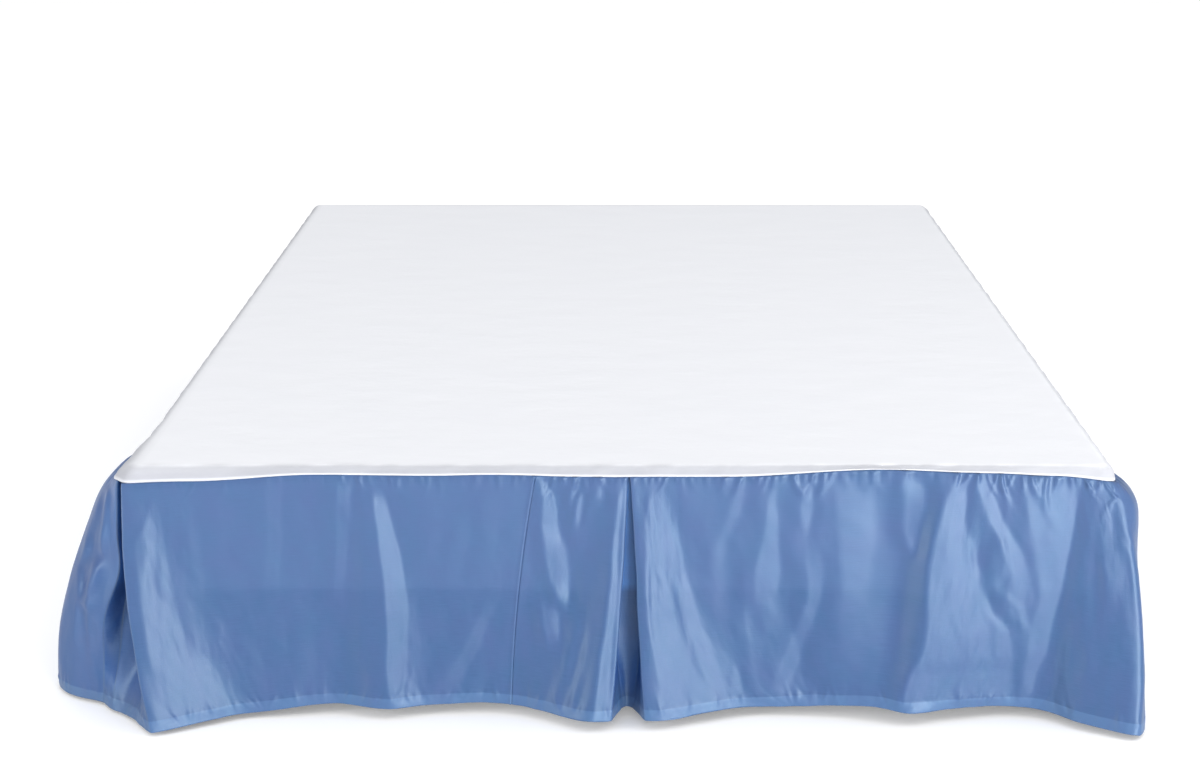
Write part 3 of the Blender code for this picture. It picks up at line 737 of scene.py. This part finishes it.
def soften(curves, tight):
    """Evens out the curves' bends between the tight folds, whose columns are given."""
    reach = int(4 * SMOOTH_WIDTH / SMOOTH_STEP)
    kernel = np.exp(-0.5 * (np.arange(-reach, reach + 1) * SMOOTH_STEP / SMOOTH_WIDTH) ** 2)
    kernel /= kernel.sum()
    out = curves.copy()
    for row, lengths in enumerate(along(curves)):
        even = np.arange(0, lengths[-1] + SMOOTH_STEP, SMOOTH_STEP)
        far = np.min(np.abs(even[:, None] - lengths[tight][None, :]), 1)
        share = ease(far, KEEP_NEAR, KEEP_FAR)
        for axis in range(2):
            line = np.interp(even, lengths, curves[row, :, axis])
            start = 2 * line[0] - line[reach:0:-1]
            end = 2 * line[-1] - line[-2:-reach - 2:-1]
            smooth = np.convolve(np.concatenate([start, line, end]), kernel, "valid")
            out[row, :, axis] = np.interp(lengths, even, line + (smooth - line) * share)
    return out


def row_depths():
    """How far below the seam each row of the drop lies."""
    depths = [0.0]
    for bottom, step in ROW_STEPS:
        count = round((bottom - depths[-1]) / step)
        start = depths[-1]
        depths += [start + (bottom - start) * (n + 1) / count for n in range(count)]
    return np.array(depths)


def surface_normals(points):
    """The outward direction at each point of the drop's grid."""
    down = np.gradient(points, axis=0)
    right = np.gradient(points, axis=1)
    return unit(np.cross(down, right))


class Drop:
    """The whole drop as one grid of points, [row, column, xyz]."""

    def __init__(self):
        folds = all_folds()
        self.depths = row_depths()
        self.levels = self.depths / DROP
        control, index = control_points(folds, self.levels)
        spans, shares = column_shares(control[-1], folds, index)
        curves = plan_curves(control, spans, shares)
        self.column_of = {
            fold.name: int(np.argmax((spans == number) & (shares == 0)))
            for number, fold in zip(index, folds)
        }
        self.column_of["right_end"] = len(spans) - 1
        curves = soften(curves, [self.column_of[fold.name] for fold in folds if fold.turn])
        self.inner = self.inner_share(folds, index, spans)
        self.seam = curves[0]
        self.place = seam_place(self.seam[:, 0], FOOT_Y - self.seam[:, 1])
        height = SEAM_Z + seam_rise(self.place)
        z = height[None, :] - self.depths[:, None]
        self.points = np.concatenate([curves, z[:, :, None]], -1)
        self.hem = along(curves)[-1]

    @staticmethod
    def inner_share(folds, index, spans):
        """1 for the columns inside a pleat, 0 for those that show."""
        hidden = np.zeros(len(spans))
        names = [fold.name for fold in folds]
        for n, name in enumerate(names[:-1]):
            if name.endswith(INNER_FOLDS) or names[n + 1].endswith(INNER_FOLDS):
                low, high = index[n] + (1 if folds[n].turn else 0), index[n + 1]
                hidden[(spans >= low) & (spans < high)] = 1
        return hidden

    def painted_bounce(self):
        """How much each point is painted with the pleats' bounce light, from 0 to 1."""
        back = self.inner[None, :] * (1 - ease(self.levels, *INNER_FADE))[:, None]
        for start, end in RETURNS:
            span = slice(self.column_of[start], self.column_of[end])
            back[:, span] *= (1 - ease(self.levels, *RETURN_FADE))[:, None]
        behind_lip = self.hem[self.column_of["left_side_lip"]] - self.hem
        side = np.where(behind_lip > 0, 1 - ease(behind_lip, *SIDE_FADE), 0)
        return np.maximum(back, SIDE_PAINTED_BOUNCE * side[None, :])


def box(value, low, high, soft):
    """1 between low and high, 0 outside, eased over soft at each end."""
    soft = np.maximum(np.minimum(soft, (high - low) * MOST_SOFT), SHARPEST)
    return ease(value, low - soft, low + soft) * (1 - ease(value, high - soft, high + soft))


def edge_line(levels, points, draw):
    """The x of a band's edge at each level, with a little wobble."""
    line = np.interp(levels, [level for level, _ in points], [x for _, x in points])
    stray = sum(
        np.sin(2 * math.pi * (levels * count + draw.random())) / count
        for count in WOBBLES
    )
    return (line + stray * WOBBLE)[:, None]


def band_lift(drop, band, shown, steepest, draw):
    """How far the cloth moves outward at each point to face the band's way."""
    x, y = drop.points[:, :, 0], drop.points[:, :, 1]
    step = np.gradient(x, axis=1)
    fall = np.gradient(y, axis=1) / np.where(np.abs(step) < SHARPEST, SHARPEST, step)
    low = edge_line(drop.levels, band.left, draw)
    high = edge_line(drop.levels, band.right, draw)
    inside = box(x, low, high, BAND_EDGE) * shown
    if band.facing > 0:
        for edge in (low + RIM_WIDTH, high - RIM_WIDTH):
            inside *= 1 + BAND_RIM * np.exp(-(((x - edge) / RIM_WIDTH) ** 2))
    turn = math.tan(math.radians(band.facing)) - np.clip(fall, -steepest, steepest)
    more = np.clip(turn, MOST_TURNED_BACK, steepest) * inside * step
    total = more.sum(1, keepdims=True)
    scale = 1 / np.maximum(1, np.abs(total) / band.fall)
    slope = -more * scale
    strips = ((low - band.rise, low, band.rise), (high, high + band.rest, band.rest))
    for start, end, width in strips:
        if width:
            part = box(x, start, end, width * REST_SOFT) * shown * step
            whole = np.maximum(part.sum(1, keepdims=True), SMALLEST_WIDTH)
            slope += total * scale * part / whole * width / (band.rise + band.rest)
    first, last = band.left[0][0], band.left[-1][0]
    share = (drop.levels - first) / (last - first)
    fade_in, fade_out = (fade + SHORTEST_FADE for fade in band.fades)
    fade = box(share, 0, 1, 0) * ease(share, 0, fade_in) * (1 - ease(share, 1 - fade_out, 1))
    return np.cumsum(slope, 1) * fade[:, None]


def add_bands(drop, lift, draw):
    """Turns the cloth in each band of the tables to the way it faces."""
    columns = np.arange(len(drop.hem))
    column_of = drop.column_of
    valley = column_of["middle_valley"]
    middle = drop.points[0, valley, 0]
    foot = (column_of["left_foot_lip"] <= columns) & (columns < column_of["right_bulge"])
    for band in BANDS:
        right = band.left[0][1] > middle
        shown = foot & ((columns >= valley) == right)
        lift += band_lift(drop, band, shown * (1 - drop.inner), STEEPEST_FOOT, draw)
    side = (column_of["left_bulge"] <= columns) & (columns < column_of["left_side_lip"])
    for band in SIDE_BANDS:
        lift += band_lift(drop, band, side * 1.0, STEEPEST_SIDE, draw)


def sway_folds(drop):
    """Moves the left corner's folds at their kinks, with the cloth beside them."""
    for fold, level, height, right, front, width in SWAYS:
        reach = np.exp(-(((drop.hem - drop.hem[drop.column_of[fold]]) / width) ** 2))[None, :]
        share = np.exp(-(((drop.levels - level) / height) ** 2))[:, None] * reach
        drop.points[:, :, 0] += right * share
        drop.points[:, :, 1] -= front * share


def add_small_creases(drop, lift):
    """Adds the sharp little creases by the right corner."""
    x = drop.points[:, :, 0]
    level = drop.levels[:, None]
    start, end = drop.column_of["right_trough"], drop.column_of["right_bulge"]
    for line, height in SMALL_CREASES:
        nearest = np.full(x.shape, np.inf)
        for (level_a, x_a), (level_b, x_b) in zip(line, line[1:]):
            run = np.array(((level_b - level_a) * DROP, x_b - x_a))
            off_z, off_x = (level - level_a) * DROP, x - x_a
            share = np.clip((off_z * run[0] + off_x * run[1]) / (run @ run), 0, 1)
            nearest = np.minimum(nearest, np.hypot(off_z - share * run[0], off_x - share * run[1]))
        crease = height * np.exp(-((nearest / SMALL_CREASE_WIDTH) ** 2))
        lift[:, start:end] += crease[:, start:end]


def add_gathers(drop, lift, draw):
    """Adds the small folds that run down from the seam where it is gathered."""
    depth = drop.depths[:, None]
    top = along(drop.points[:1])[0]
    seen = np.concatenate([[0], np.cumsum(np.diff(top) * (1 - drop.inner[1:]))])
    spot = 0.0
    while spot < seen[-1]:
        spot += draw.uniform(*GATHER_SPACING)
        column = min(np.searchsorted(seen, spot), len(seen) - 1)
        force = float(smooth_table(GATHER_ROWS, drop.place[column]))
        width = draw.uniform(*GATHER_WIDTH)
        length = draw.uniform(*GATHER_LENGTH) * (GATHER_LENGTHENS[0] + GATHER_LENGTHENS[1] * force)
        if draw.random() < LONG_GATHERS[0]:
            length *= LONG_GATHERS[1]
        height = draw.uniform(LEAST_GATHER, 1.0) * GATHER_HEIGHT * force
        slant = draw.uniform(-GATHER_SLANT, GATHER_SLANT)
        bend = draw.uniform(-GATHER_BEND, GATHER_BEND)
        across = seen[None, :] - spot - slant * depth - bend * depth**2
        fade = np.exp(-((depth / length) ** 2)) * ease(depth, *GATHER_STARTS)
        spread_out = width * (1 + depth / GATHER_DOUBLES)
        lift += height * np.exp(-((across / spread_out) ** 2)) * fade * (1 - drop.inner)


def waves(u, v, draw, count, longest, shortest, straight):
    """A smooth random surface, about 1 high, of waves that run mostly down the cloth."""
    total = np.zeros(np.broadcast(u, v).shape)
    for _ in range(count):
        length = longest * (shortest / longest) ** draw.random()
        turn = draw.gauss(0, 1) / straight
        phase = draw.uniform(0, 2 * math.pi)
        wave = np.cos(2 * math.pi / length * (u + v * turn) + phase)
        total += wave * (length / longest)
    return total / math.sqrt(count)


def add_waves(drop, lift, draw):
    """Adds the cloth's faint unevenness, with a few crumpled places on the foot."""
    u, v = drop.hem[None, :], drop.depths[:, None]
    growth = ease(drop.depths, 0.0, WAVES_FULL)[:, None]
    lift += WAVE_HEIGHT * waves(u, v, draw, *WAVES) * growth
    ripple = waves(u, v, draw, *RIPPLES) * growth
    x = drop.points[:, :, 0]
    crumpled = np.zeros_like(x)
    for level, centre, height, width in CRUMPLES:
        off = ((drop.levels[:, None] - level) / height) ** 2 + ((x - centre) / width) ** 2
        crumpled = np.maximum(crumpled, np.exp(-off))
    front = ease(FOOT_Y - drop.points[:, :, 1], *CRUMPLE_FRONT)
    lift += ripple * (RIPPLE_HEIGHT + CRUMPLE_HEIGHT * crumpled * front)


def add_hem(drop, lift, draw):
    """Adds the hem's thicker band and the puckers at its stitch line."""
    above = DROP - drop.depths[:, None] - HEM_HEIGHT
    lift += HEM_STANDS * (1 - ease(above, *HEM_EDGE))
    reach_down = np.exp(-np.maximum(-above, 0) / PUCKER_REACH_DOWN)
    spot = 0.0
    while spot < drop.hem[-1]:
        spot += draw.uniform(*PUCKER_SPACING)
        width = draw.uniform(*PUCKER_WIDTH)
        reach = draw.uniform(*PUCKER_REACH)
        slant = draw.uniform(-PUCKER_SLANT, PUCKER_SLANT)
        height = draw.uniform(LEAST_PUCKER, 1.0) ** PUCKER_POWER * PUCKER_HEIGHT
        height *= draw.choice((1, PUCKER_DENT))
        across = drop.hem[None, :] - spot - slant * above
        fade = np.exp(-np.maximum(above, 0) / reach) * reach_down
        lift += height * np.exp(-2 * (across / width) ** 2) * fade


def add_joins(drop, lift):
    """Sinks the cloth's edges into each join, and rounds the turned edges beside it."""
    for name in JOINS:
        across = drop.hem - drop.hem[drop.column_of[name]]
        for height, place, width in JOIN_RISES:
            lift += height * np.exp(-(((across - place) / width) ** 2))


def shape_drop():
    """The drop's grid with all its detail."""
    drop = Drop()
    draw = random.Random(DROP_SEED)
    sway_folds(drop)
    lift = np.zeros(drop.points.shape[:2])
    add_bands(drop, lift, draw)
    add_small_creases(drop, lift)
    add_gathers(drop, lift, draw)
    add_waves(drop, lift, draw)
    add_hem(drop, lift, draw)
    add_joins(drop, lift)
    drop.points = drop.points + surface_normals(drop.points) * lift[:, :, None]
    return drop


# ---- meshes
def grid_faces(rows, columns):
    """The faces of a grid of points that are listed row by row."""
    corner = (np.arange(rows - 1)[:, None] * columns + np.arange(columns - 1)[None, :]).ravel()
    return np.stack([corner, corner + columns, corner + columns + 1, corner + 1], -1)


def mesh_from(name, points, faces):
    """A smooth mesh of the points and faces."""
    mesh = bpy.data.meshes.new(name)
    mesh.from_pydata([tuple(p) for p in points], [], [tuple(f) for f in faces])
    mesh.shade_smooth()
    return mesh


def add_piece(name, mesh, finish):
    """A new object in the scene with the mesh and its material."""
    piece = bpy.data.objects.new(name, mesh)
    piece.data.materials.append(finish)
    bpy.context.scene.collection.objects.link(piece)
    return piece


def thicken(piece, thickness):
    """Gives the sheet its thickness, on its inner side, as plain mesh."""
    solid = piece.modifiers.new("cloth", "SOLIDIFY")
    solid.thickness = thickness
    solid.offset = -1
    solid.use_even_offset = False
    shown = piece.evaluated_get(bpy.context.evaluated_depsgraph_get())
    mesh = bpy.data.meshes.new_from_object(shown)
    piece.modifiers.clear()
    piece.data = mesh
    return piece


def store(mesh, name, values):
    """Keeps a value for each of the mesh's points, for its material to read."""
    layer = mesh.attributes.new(name, "FLOAT", "POINT")
    layer.data.foreach_set("value", values.astype(np.float32).ravel())


def painted_show_through(points):
    """Painted show-through: how much lighter the drop is painted where the base is close behind
    it, from 0 to 1.
    """
    x, y, z = points[..., 0], points[..., 1], points[..., 2]
    outside = np.stack([np.abs(x) - BASE_HIGH.x, BASE_LOW.y - y], -1)
    gap = np.linalg.norm(np.maximum(outside, 0), axis=-1)
    blur = PAINTED_SHOW_THROUGH_SHARP + gap * PAINTED_SHOW_THROUGH_BLUR
    above = 0.5 + 0.5 * np.tanh((z - BASE_LOW.z) / blur)
    return above * np.exp(-np.maximum(gap - PAINTED_SHOW_THROUGH_GAP, 0) / PAINTED_SHOW_THROUGH_FADE)


def drop_piece(drop, name, start, end, finish):
    """One width of the drop, with its cloth coordinates, its painted show-through and its painted
    bounce light.
    """
    low, high = drop.column_of[start], drop.column_of[end]
    points = drop.points[:, low:high + 1]
    rows, columns = points.shape[:2]
    mesh = mesh_from(name + "_cloth", points.reshape(-1, 3), grid_faces(rows, columns))
    across = np.broadcast_to(drop.hem[None, low:high + 1], (rows, columns))
    up = np.broadcast_to((DROP - drop.depths)[:, None], (rows, columns))
    layer = mesh.uv_layers.new(name="cloth")
    corners = np.zeros(len(mesh.loops), np.int32)
    mesh.loops.foreach_get("vertex_index", corners)
    uv = np.stack([across.ravel()[corners], up.ravel()[corners]], -1)
    layer.data.foreach_set("uv", uv.astype(np.float32).ravel())
    # painted show-through: lighter over the base, darker painted shade below it
    store(mesh, "backing", painted_show_through(points))
    # how much each point is painted with the pleats' bounce light
    store(mesh, "layers", drop.painted_bounce()[:, low:high + 1])
    piece = thicken(add_piece(name + "_cloth", mesh, finish), SATIN)
    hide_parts(name)
    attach(piece, "root")


# ---- the deck
def deck_outline(drop):
    """The places along the deck's edge, and where the seam is there in plan."""
    shown = np.flatnonzero(drop.inner == 0)
    shown = shown[np.argsort(drop.place[shown], kind="stable")]
    places = drop.place[shown]
    keep = [0]
    for n in range(1, len(places)):
        if places[n] - places[keep[-1]] > EDGE_COLUMN:
            keep.append(n)
    return places[keep], drop.seam[shown][keep]


def edge_ripple(places, draw):
    """The soft ripples of the deck's rolled edge."""
    count, longest, shortest = EDGE_WAVES
    total = np.zeros(len(places))
    for _ in range(count):
        length = longest * (shortest / longest) ** draw.random()
        wave = np.cos(2 * math.pi * (places / length + draw.random()))
        total += wave * (length / longest) ** EDGE_WAVE_GROWTH
    return EDGE_WAVE_HEIGHT * total


def edge_pull(places, seam, plan):
    """How far the drop's seam pulls the deck's edge from its nominal line, smoothed."""
    near = np.exp(-(((places[:, None] - places[None, :]) / PULL_WIDTH) ** 2))
    return near @ (seam - plan) / near.sum(1, keepdims=True)


def roll_painted_light(places, share):
    """How white the roll is painted this share of the way down: painted shade, lighter toward the
    right and at the bead.
    """
    painted_white = np.interp(share, *zip(*ROLL_PAINTED_WHITE))
    painted_white = max(painted_white, BEAD_PAINTED_HIGHLIGHT * ease(share, BEAD_AT - BEAD_WIDTH, BEAD_AT))
    # painted light: the roll is painted lighter toward the right, where the light falls
    right = RIGHT_PAINTED_LIGHT[0] + RIGHT_PAINTED_LIGHT[1] * (1 - ease(share, *RIGHT_PAINTED_LIGHT_TOP))
    return np.minimum(painted_white + ease(places, *RIGHT_PAINTED_LIGHT_FROM) * right, 1)


def deck_rings(drop):
    """The deck's rings of points from its flat top to the seam, and how white each is painted
    against the roll's painted shade.
    """
    places, seam = deck_outline(drop)
    plan, outward = edge_point(places)
    full = roll_angle(places)
    pull = edge_pull(places, seam, plan - outward * roll_inset(full)[:, None])
    ripple = edge_ripple(places, random.Random(DECK_SEED))
    inner = plan - outward * (roll_inset(0.0) + INNER_RING)
    rings = [np.concatenate([inner, np.full((len(places), 1), DECK_Z)], -1)]
    backing = [np.ones(len(places))]
    for step in range(EDGE_RINGS + 1):
        share = step / EDGE_RINGS
        angle = full * share
        stand = ripple * math.sin(math.pi * share) ** EDGE_WAVE_CROWN
        stand = stand + BEAD * math.exp(-((share - BEAD_AT) / BEAD_WIDTH) ** 2)
        way = np.concatenate([outward * np.sin(angle)[:, None], np.cos(angle)[:, None]], -1)
        ring = plan + pull * share - outward * roll_inset(angle)[:, None]
        z = DECK_Z - ROLL_RADIUS * (1 - np.cos(angle))
        rings.append(np.concatenate([ring, z[:, None]], -1) + way * stand[:, None])
        backing.append(roll_painted_light(places, share))
    return rings, backing


def build_deck(drop, finish):
    """The white deck: flat on top, rolled over the base's edge down to the seam."""
    rings, backing = deck_rings(drop)
    count = len(rings[0])
    mesh = mesh_from("deck_cloth", np.concatenate(rings), grid_faces(len(rings), count))
    # how white each point is painted against the roll's painted shade
    store(mesh, "backing", np.concatenate(backing))
    fill_top(mesh, count)
    piece = thicken(add_piece("deck_cloth", mesh, finish), DECK_CLOTH)
    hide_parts("platform")
    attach(piece, "root")


def fill_top(mesh, count):
    """Closes the deck's flat top with one face inside its first ring of points."""
    bm = bmesh.new()
    bm.from_mesh(mesh)
    bm.verts.ensure_lookup_table()
    face = bm.faces.new([bm.verts[n] for n in range(count)])
    bmesh.ops.recalc_face_normals(bm, faces=bm.faces)
    if face.normal.z < 0:
        bmesh.ops.reverse_faces(bm, faces=bm.faces)
    bm.to_mesh(mesh)
    bm.free()
    mesh.shade_smooth()


# ---- materials
def shader_of(name, colour, roughness, settings=()):
    """A new material with a Principled shader, and its node tree."""
    made = bpy.data.materials.new(name)
    made.use_nodes = True
    shader = made.node_tree.nodes["Principled BSDF"]
    settings = {"Base Color": (*colour, 1), "Roughness": roughness, **dict(settings)}
    for socket, value in settings.items():
        shader.inputs[socket].default_value = value
    return made, made.node_tree, shader


def noise_of(tree, source, scale, detail, roughness=0.5):
    """A noise texture. Scale is how many blotches a metre has each way."""
    place = tree.nodes.new("ShaderNodeMapping")
    place.inputs["Scale"].default_value = scale
    tree.links.new(source, place.inputs["Vector"])
    noise = tree.nodes.new("ShaderNodeTexNoise")
    noise.inputs["Scale"].default_value = 1.0
    noise.inputs["Detail"].default_value = detail
    noise.inputs["Roughness"].default_value = roughness
    tree.links.new(place.outputs["Vector"], noise.inputs["Vector"])
    return noise.outputs["Fac"]


def spread(tree, value, low, high, start=0.3, end=0.7):
    """The value, from start to end, spread from low to high."""
    node = tree.nodes.new("ShaderNodeMapRange")
    ends = (("From Min", start), ("From Max", end), ("To Min", low), ("To Max", high))
    for socket, number in ends:
        node.inputs[socket].default_value = number
    tree.links.new(value, node.inputs["Value"])
    return node.outputs["Result"]


def mixed(tree, share, first, second):
    """A mix of two colours, each a constant or another node's colour."""
    node = tree.nodes.new("ShaderNodeMix")
    node.data_type = "RGBA"
    for socket, colour in (("A", first), ("B", second)):
        if isinstance(colour, tuple):
            node.inputs[socket].default_value = (*colour, 1)
        else:
            tree.links.new(colour, node.inputs[socket])
    tree.links.new(share, node.inputs["Factor"])
    return node.outputs["Result"]


def bumped(tree, shader, heights):
    """Gives the shader a bump for each height and its depth in metres."""
    normal = None
    for height, depth in heights:
        bump = tree.nodes.new("ShaderNodeBump")
        bump.inputs["Strength"].default_value = 1.0
        bump.inputs["Distance"].default_value = depth
        tree.links.new(height, bump.inputs["Height"])
        if normal:
            tree.links.new(normal, bump.inputs["Normal"])
        normal = bump.outputs["Normal"]
    tree.links.new(normal, shader.inputs["Normal"])


def share_of(tree, name):
    """A share from 0 to 1 that is stored on the mesh's points."""
    node = tree.nodes.new("ShaderNodeAttribute")
    node.attribute_name = name
    return node.outputs["Fac"]


def cloth_place(tree):
    """A point's place on the flat cloth, along it and up from the hem, in metres."""
    node = tree.nodes.new("ShaderNodeUVMap")
    node.uv_map = "cloth"
    return node.outputs["UV"]


def object_place(tree):
    """A point's place on the object, in metres."""
    return tree.nodes.new("ShaderNodeTexCoord").outputs["Object"]


def part_of(tree, vector, axis):
    """One of a vector's three numbers."""
    split = tree.nodes.new("ShaderNodeSeparateXYZ")
    tree.links.new(vector, split.inputs["Vector"])
    return split.outputs[axis]


def satin():
    """Blue satin: fine slubs along the cloth, a soft gloss, painted show-through of the base
    behind it, painted bounce light in the pleats and a painted shadow under the seam.
    """
    made, tree, shader = shader_of("blue_satin", SATIN_BLUE, 0.48, SATIN_GLOSS)
    place = cloth_place(tree)
    slub = noise_of(tree, place, (38, 950, 1), detail=4.0, roughness=0.6)
    thread = noise_of(tree, place, (420, 3200, 1), detail=2.0)
    blotch = noise_of(tree, place, (22, 13, 1), detail=4.0, roughness=0.6)
    height = part_of(tree, place, "Y")
    # painted show-through of the lit base, with darker painted shade below its edge
    backing = share_of(tree, "backing")
    # painted bounce light inside the pleats and on the left corner's side
    inner = mixed(tree, backing, SATIN_PAINTED_BOUNCE, SATIN_PAINTED_BOUNCE_LIT)
    colour = mixed(tree, backing, SATIN_BLUE, SATIN_PAINTED_SHOW_THROUGH)
    colour = mixed(tree, share_of(tree, "layers"), colour, inner)
    hem = spread(tree, height, 1.0, 0.0, HEM_HEIGHT - STITCH_LINE, HEM_HEIGHT + STITCH_LINE)
    colour = mixed(tree, hem, colour, SATIN_HEM)
    # painted shadow just under the seam, where the deck's roll overhangs the drop
    seam = spread(tree, height, 0.0, 0.5, DROP - SEAM_SHADE, DROP)
    colour = mixed(tree, seam, colour, SATIN_SEAM_PAINTED_SHADOW)
    colour = mixed(tree, spread(tree, slub, 0.0, 0.34), colour, SATIN_SLUB)
    colour = mixed(tree, spread(tree, blotch, 0.0, 0.40), colour, SATIN_BLOTCH)
    tree.links.new(colour, shader.inputs["Base Color"])
    tree.links.new(spread(tree, slub, 0.44, 0.52), shader.inputs["Roughness"])
    bumped(tree, shader, ((blotch, 0.0005), (slub, 0.00017), (thread, 0.00003)))
    return made


def cotton():
    """White cotton-blend cloth: a plain weave, a little creased, with painted shade in its creases
    and on its rolled edge.
    """
    made, tree, shader = shader_of("white_cloth", DECK_WHITE, 0.75, DECK_GLOSS)
    place = object_place(tree)
    warp = noise_of(tree, place, (2600, 260, 900), detail=2.0)
    weft = noise_of(tree, place, (260, 2600, 900), detail=2.0)
    crease = noise_of(tree, place, (9, 14, 14), detail=4.0)
    # painted shade on the rolled edge, with a lighter right end and a painted highlight at the
    # bead
    colour = mixed(tree, share_of(tree, "backing"), DECK_PAINTED_SHADE, DECK_WHITE)
    # painted shade following the creases' noise
    colour = mixed(tree, spread(tree, crease, 0.0, 0.12), colour, DECK_CREASE_PAINTED_SHADE)
    tree.links.new(colour, shader.inputs["Base Color"])
    bumped(tree, shader, ((crease, 0.0020), (warp, 0.00004), (weft, 0.00004)))
    return made


def cover():
    """The base's woven cover."""
    made, tree, shader = shader_of("base_cover", BASE_GREY, 0.85)
    place = object_place(tree)
    warp = noise_of(tree, place, (1400, 1400, 120), detail=2.0)
    weft = noise_of(tree, place, (160, 160, 1500), detail=2.0)
    fleck = noise_of(tree, place, (220, 220, 220), detail=3.0)
    colour = mixed(tree, spread(tree, fleck, 0.0, 0.5), BASE_GREY, BASE_FLECK)
    tree.links.new(colour, shader.inputs["Base Color"])
    bumped(tree, shader, ((warp, 0.00012), (weft, 0.00012)))
    return made


def wood():
    """Oiled wood with its grain up the leg."""
    made, tree, shader = shader_of("leg_wood", WOOD_LIGHT, 0.45)
    place = object_place(tree)
    grain = noise_of(tree, place, (140, 140, 7), detail=5.0, roughness=0.6)
    pore = noise_of(tree, place, (900, 900, 30), detail=2.0)
    colour = mixed(tree, spread(tree, grain, 0.0, 1.0), WOOD_LIGHT, WOOD_DARK)
    tree.links.new(colour, shader.inputs["Base Color"])
    tree.links.new(spread(tree, grain, 0.38, 0.52), shader.inputs["Roughness"])
    bumped(tree, shader, ((grain, 0.0002), (pore, 0.0001)))
    return made


# ---- stage
def build_camera():
    """The camera, in front of the foot and looking down on the bed."""
    data = bpy.data.cameras.new("camera")
    data.sensor_width = SENSOR
    data.lens = FOCAL_PIXELS / IMAGE_WIDTH * SENSOR
    data.shift_x = (IMAGE_WIDTH / 2 - CENTRE_LINE_PIXEL) / IMAGE_WIDTH
    camera = bpy.data.objects.new("camera", data)
    camera.location = (0, FOOT_Y - CAMERA_BACK, SEAM_Z + CAMERA_ABOVE_SEAM)
    camera.rotation_euler = (math.pi / 2 - CAMERA_PITCH, 0, 0)
    bpy.context.scene.collection.objects.link(camera)
    bpy.context.scene.camera = camera


def area_light(name, place, target, size, power):
    """A rectangular light that faces its target."""
    data = bpy.data.lights.new(name, "AREA")
    data.shape = "RECTANGLE"
    data.size, data.size_y = size
    data.energy = power
    light = bpy.data.objects.new(name, data)
    light.location = place
    toward = Vector(target) - Vector(place)
    light.rotation_euler = toward.to_track_quat("-Z", "Y").to_euler()
    bpy.context.scene.collection.objects.link(light)


def build_studio():
    """A pale floor, soft light from all round that is stronger above, and the lights."""
    world = bpy.data.worlds.new("studio")
    world.use_nodes = True
    tree = world.node_tree
    sky = tree.nodes.new("ShaderNodeTexCoord").outputs["Generated"]
    up = part_of(tree, sky, "Z")
    strength = spread(tree, up, WORLD_SIDE, WORLD_TOP, 0.0, WORLD_TOP_FROM)
    background = tree.nodes["Background"]
    background.inputs["Color"].default_value = WHITE
    tree.links.new(strength, background.inputs["Strength"])
    bpy.context.scene.world = world
    for light in LIGHTS:
        area_light(*light)
    signs = ((-1, -1), (1, -1), (1, 1), (-1, 1))
    corners = [(x * FLOOR_REACH, y * FLOOR_REACH, 0) for x, y in signs]
    paint = shader_of("floor_paint", FLOOR_WHITE, 0.9, FLOOR_GLOW)[0]
    add_piece("floor", mesh_from("floor", corners, [(0, 1, 2, 3)]), paint)
    bpy.context.scene.view_settings.view_transform = "Standard"


def main():
    """Builds the cloth, finishes the base, and sets the scene."""
    drop = shape_drop()
    blue = satin()
    for name, start, end in WIDTHS:
        drop_piece(drop, name, start, end, blue)
    build_deck(drop, cotton())
    finishes = {"bed_base": cover(), "leg": wood()}
    for node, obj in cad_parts.items():
        for start, finish in finishes.items():
            if node.startswith(start):
                obj.data.materials.clear()
                obj.data.materials.append(finish)
    build_camera()
    build_studio()


main()
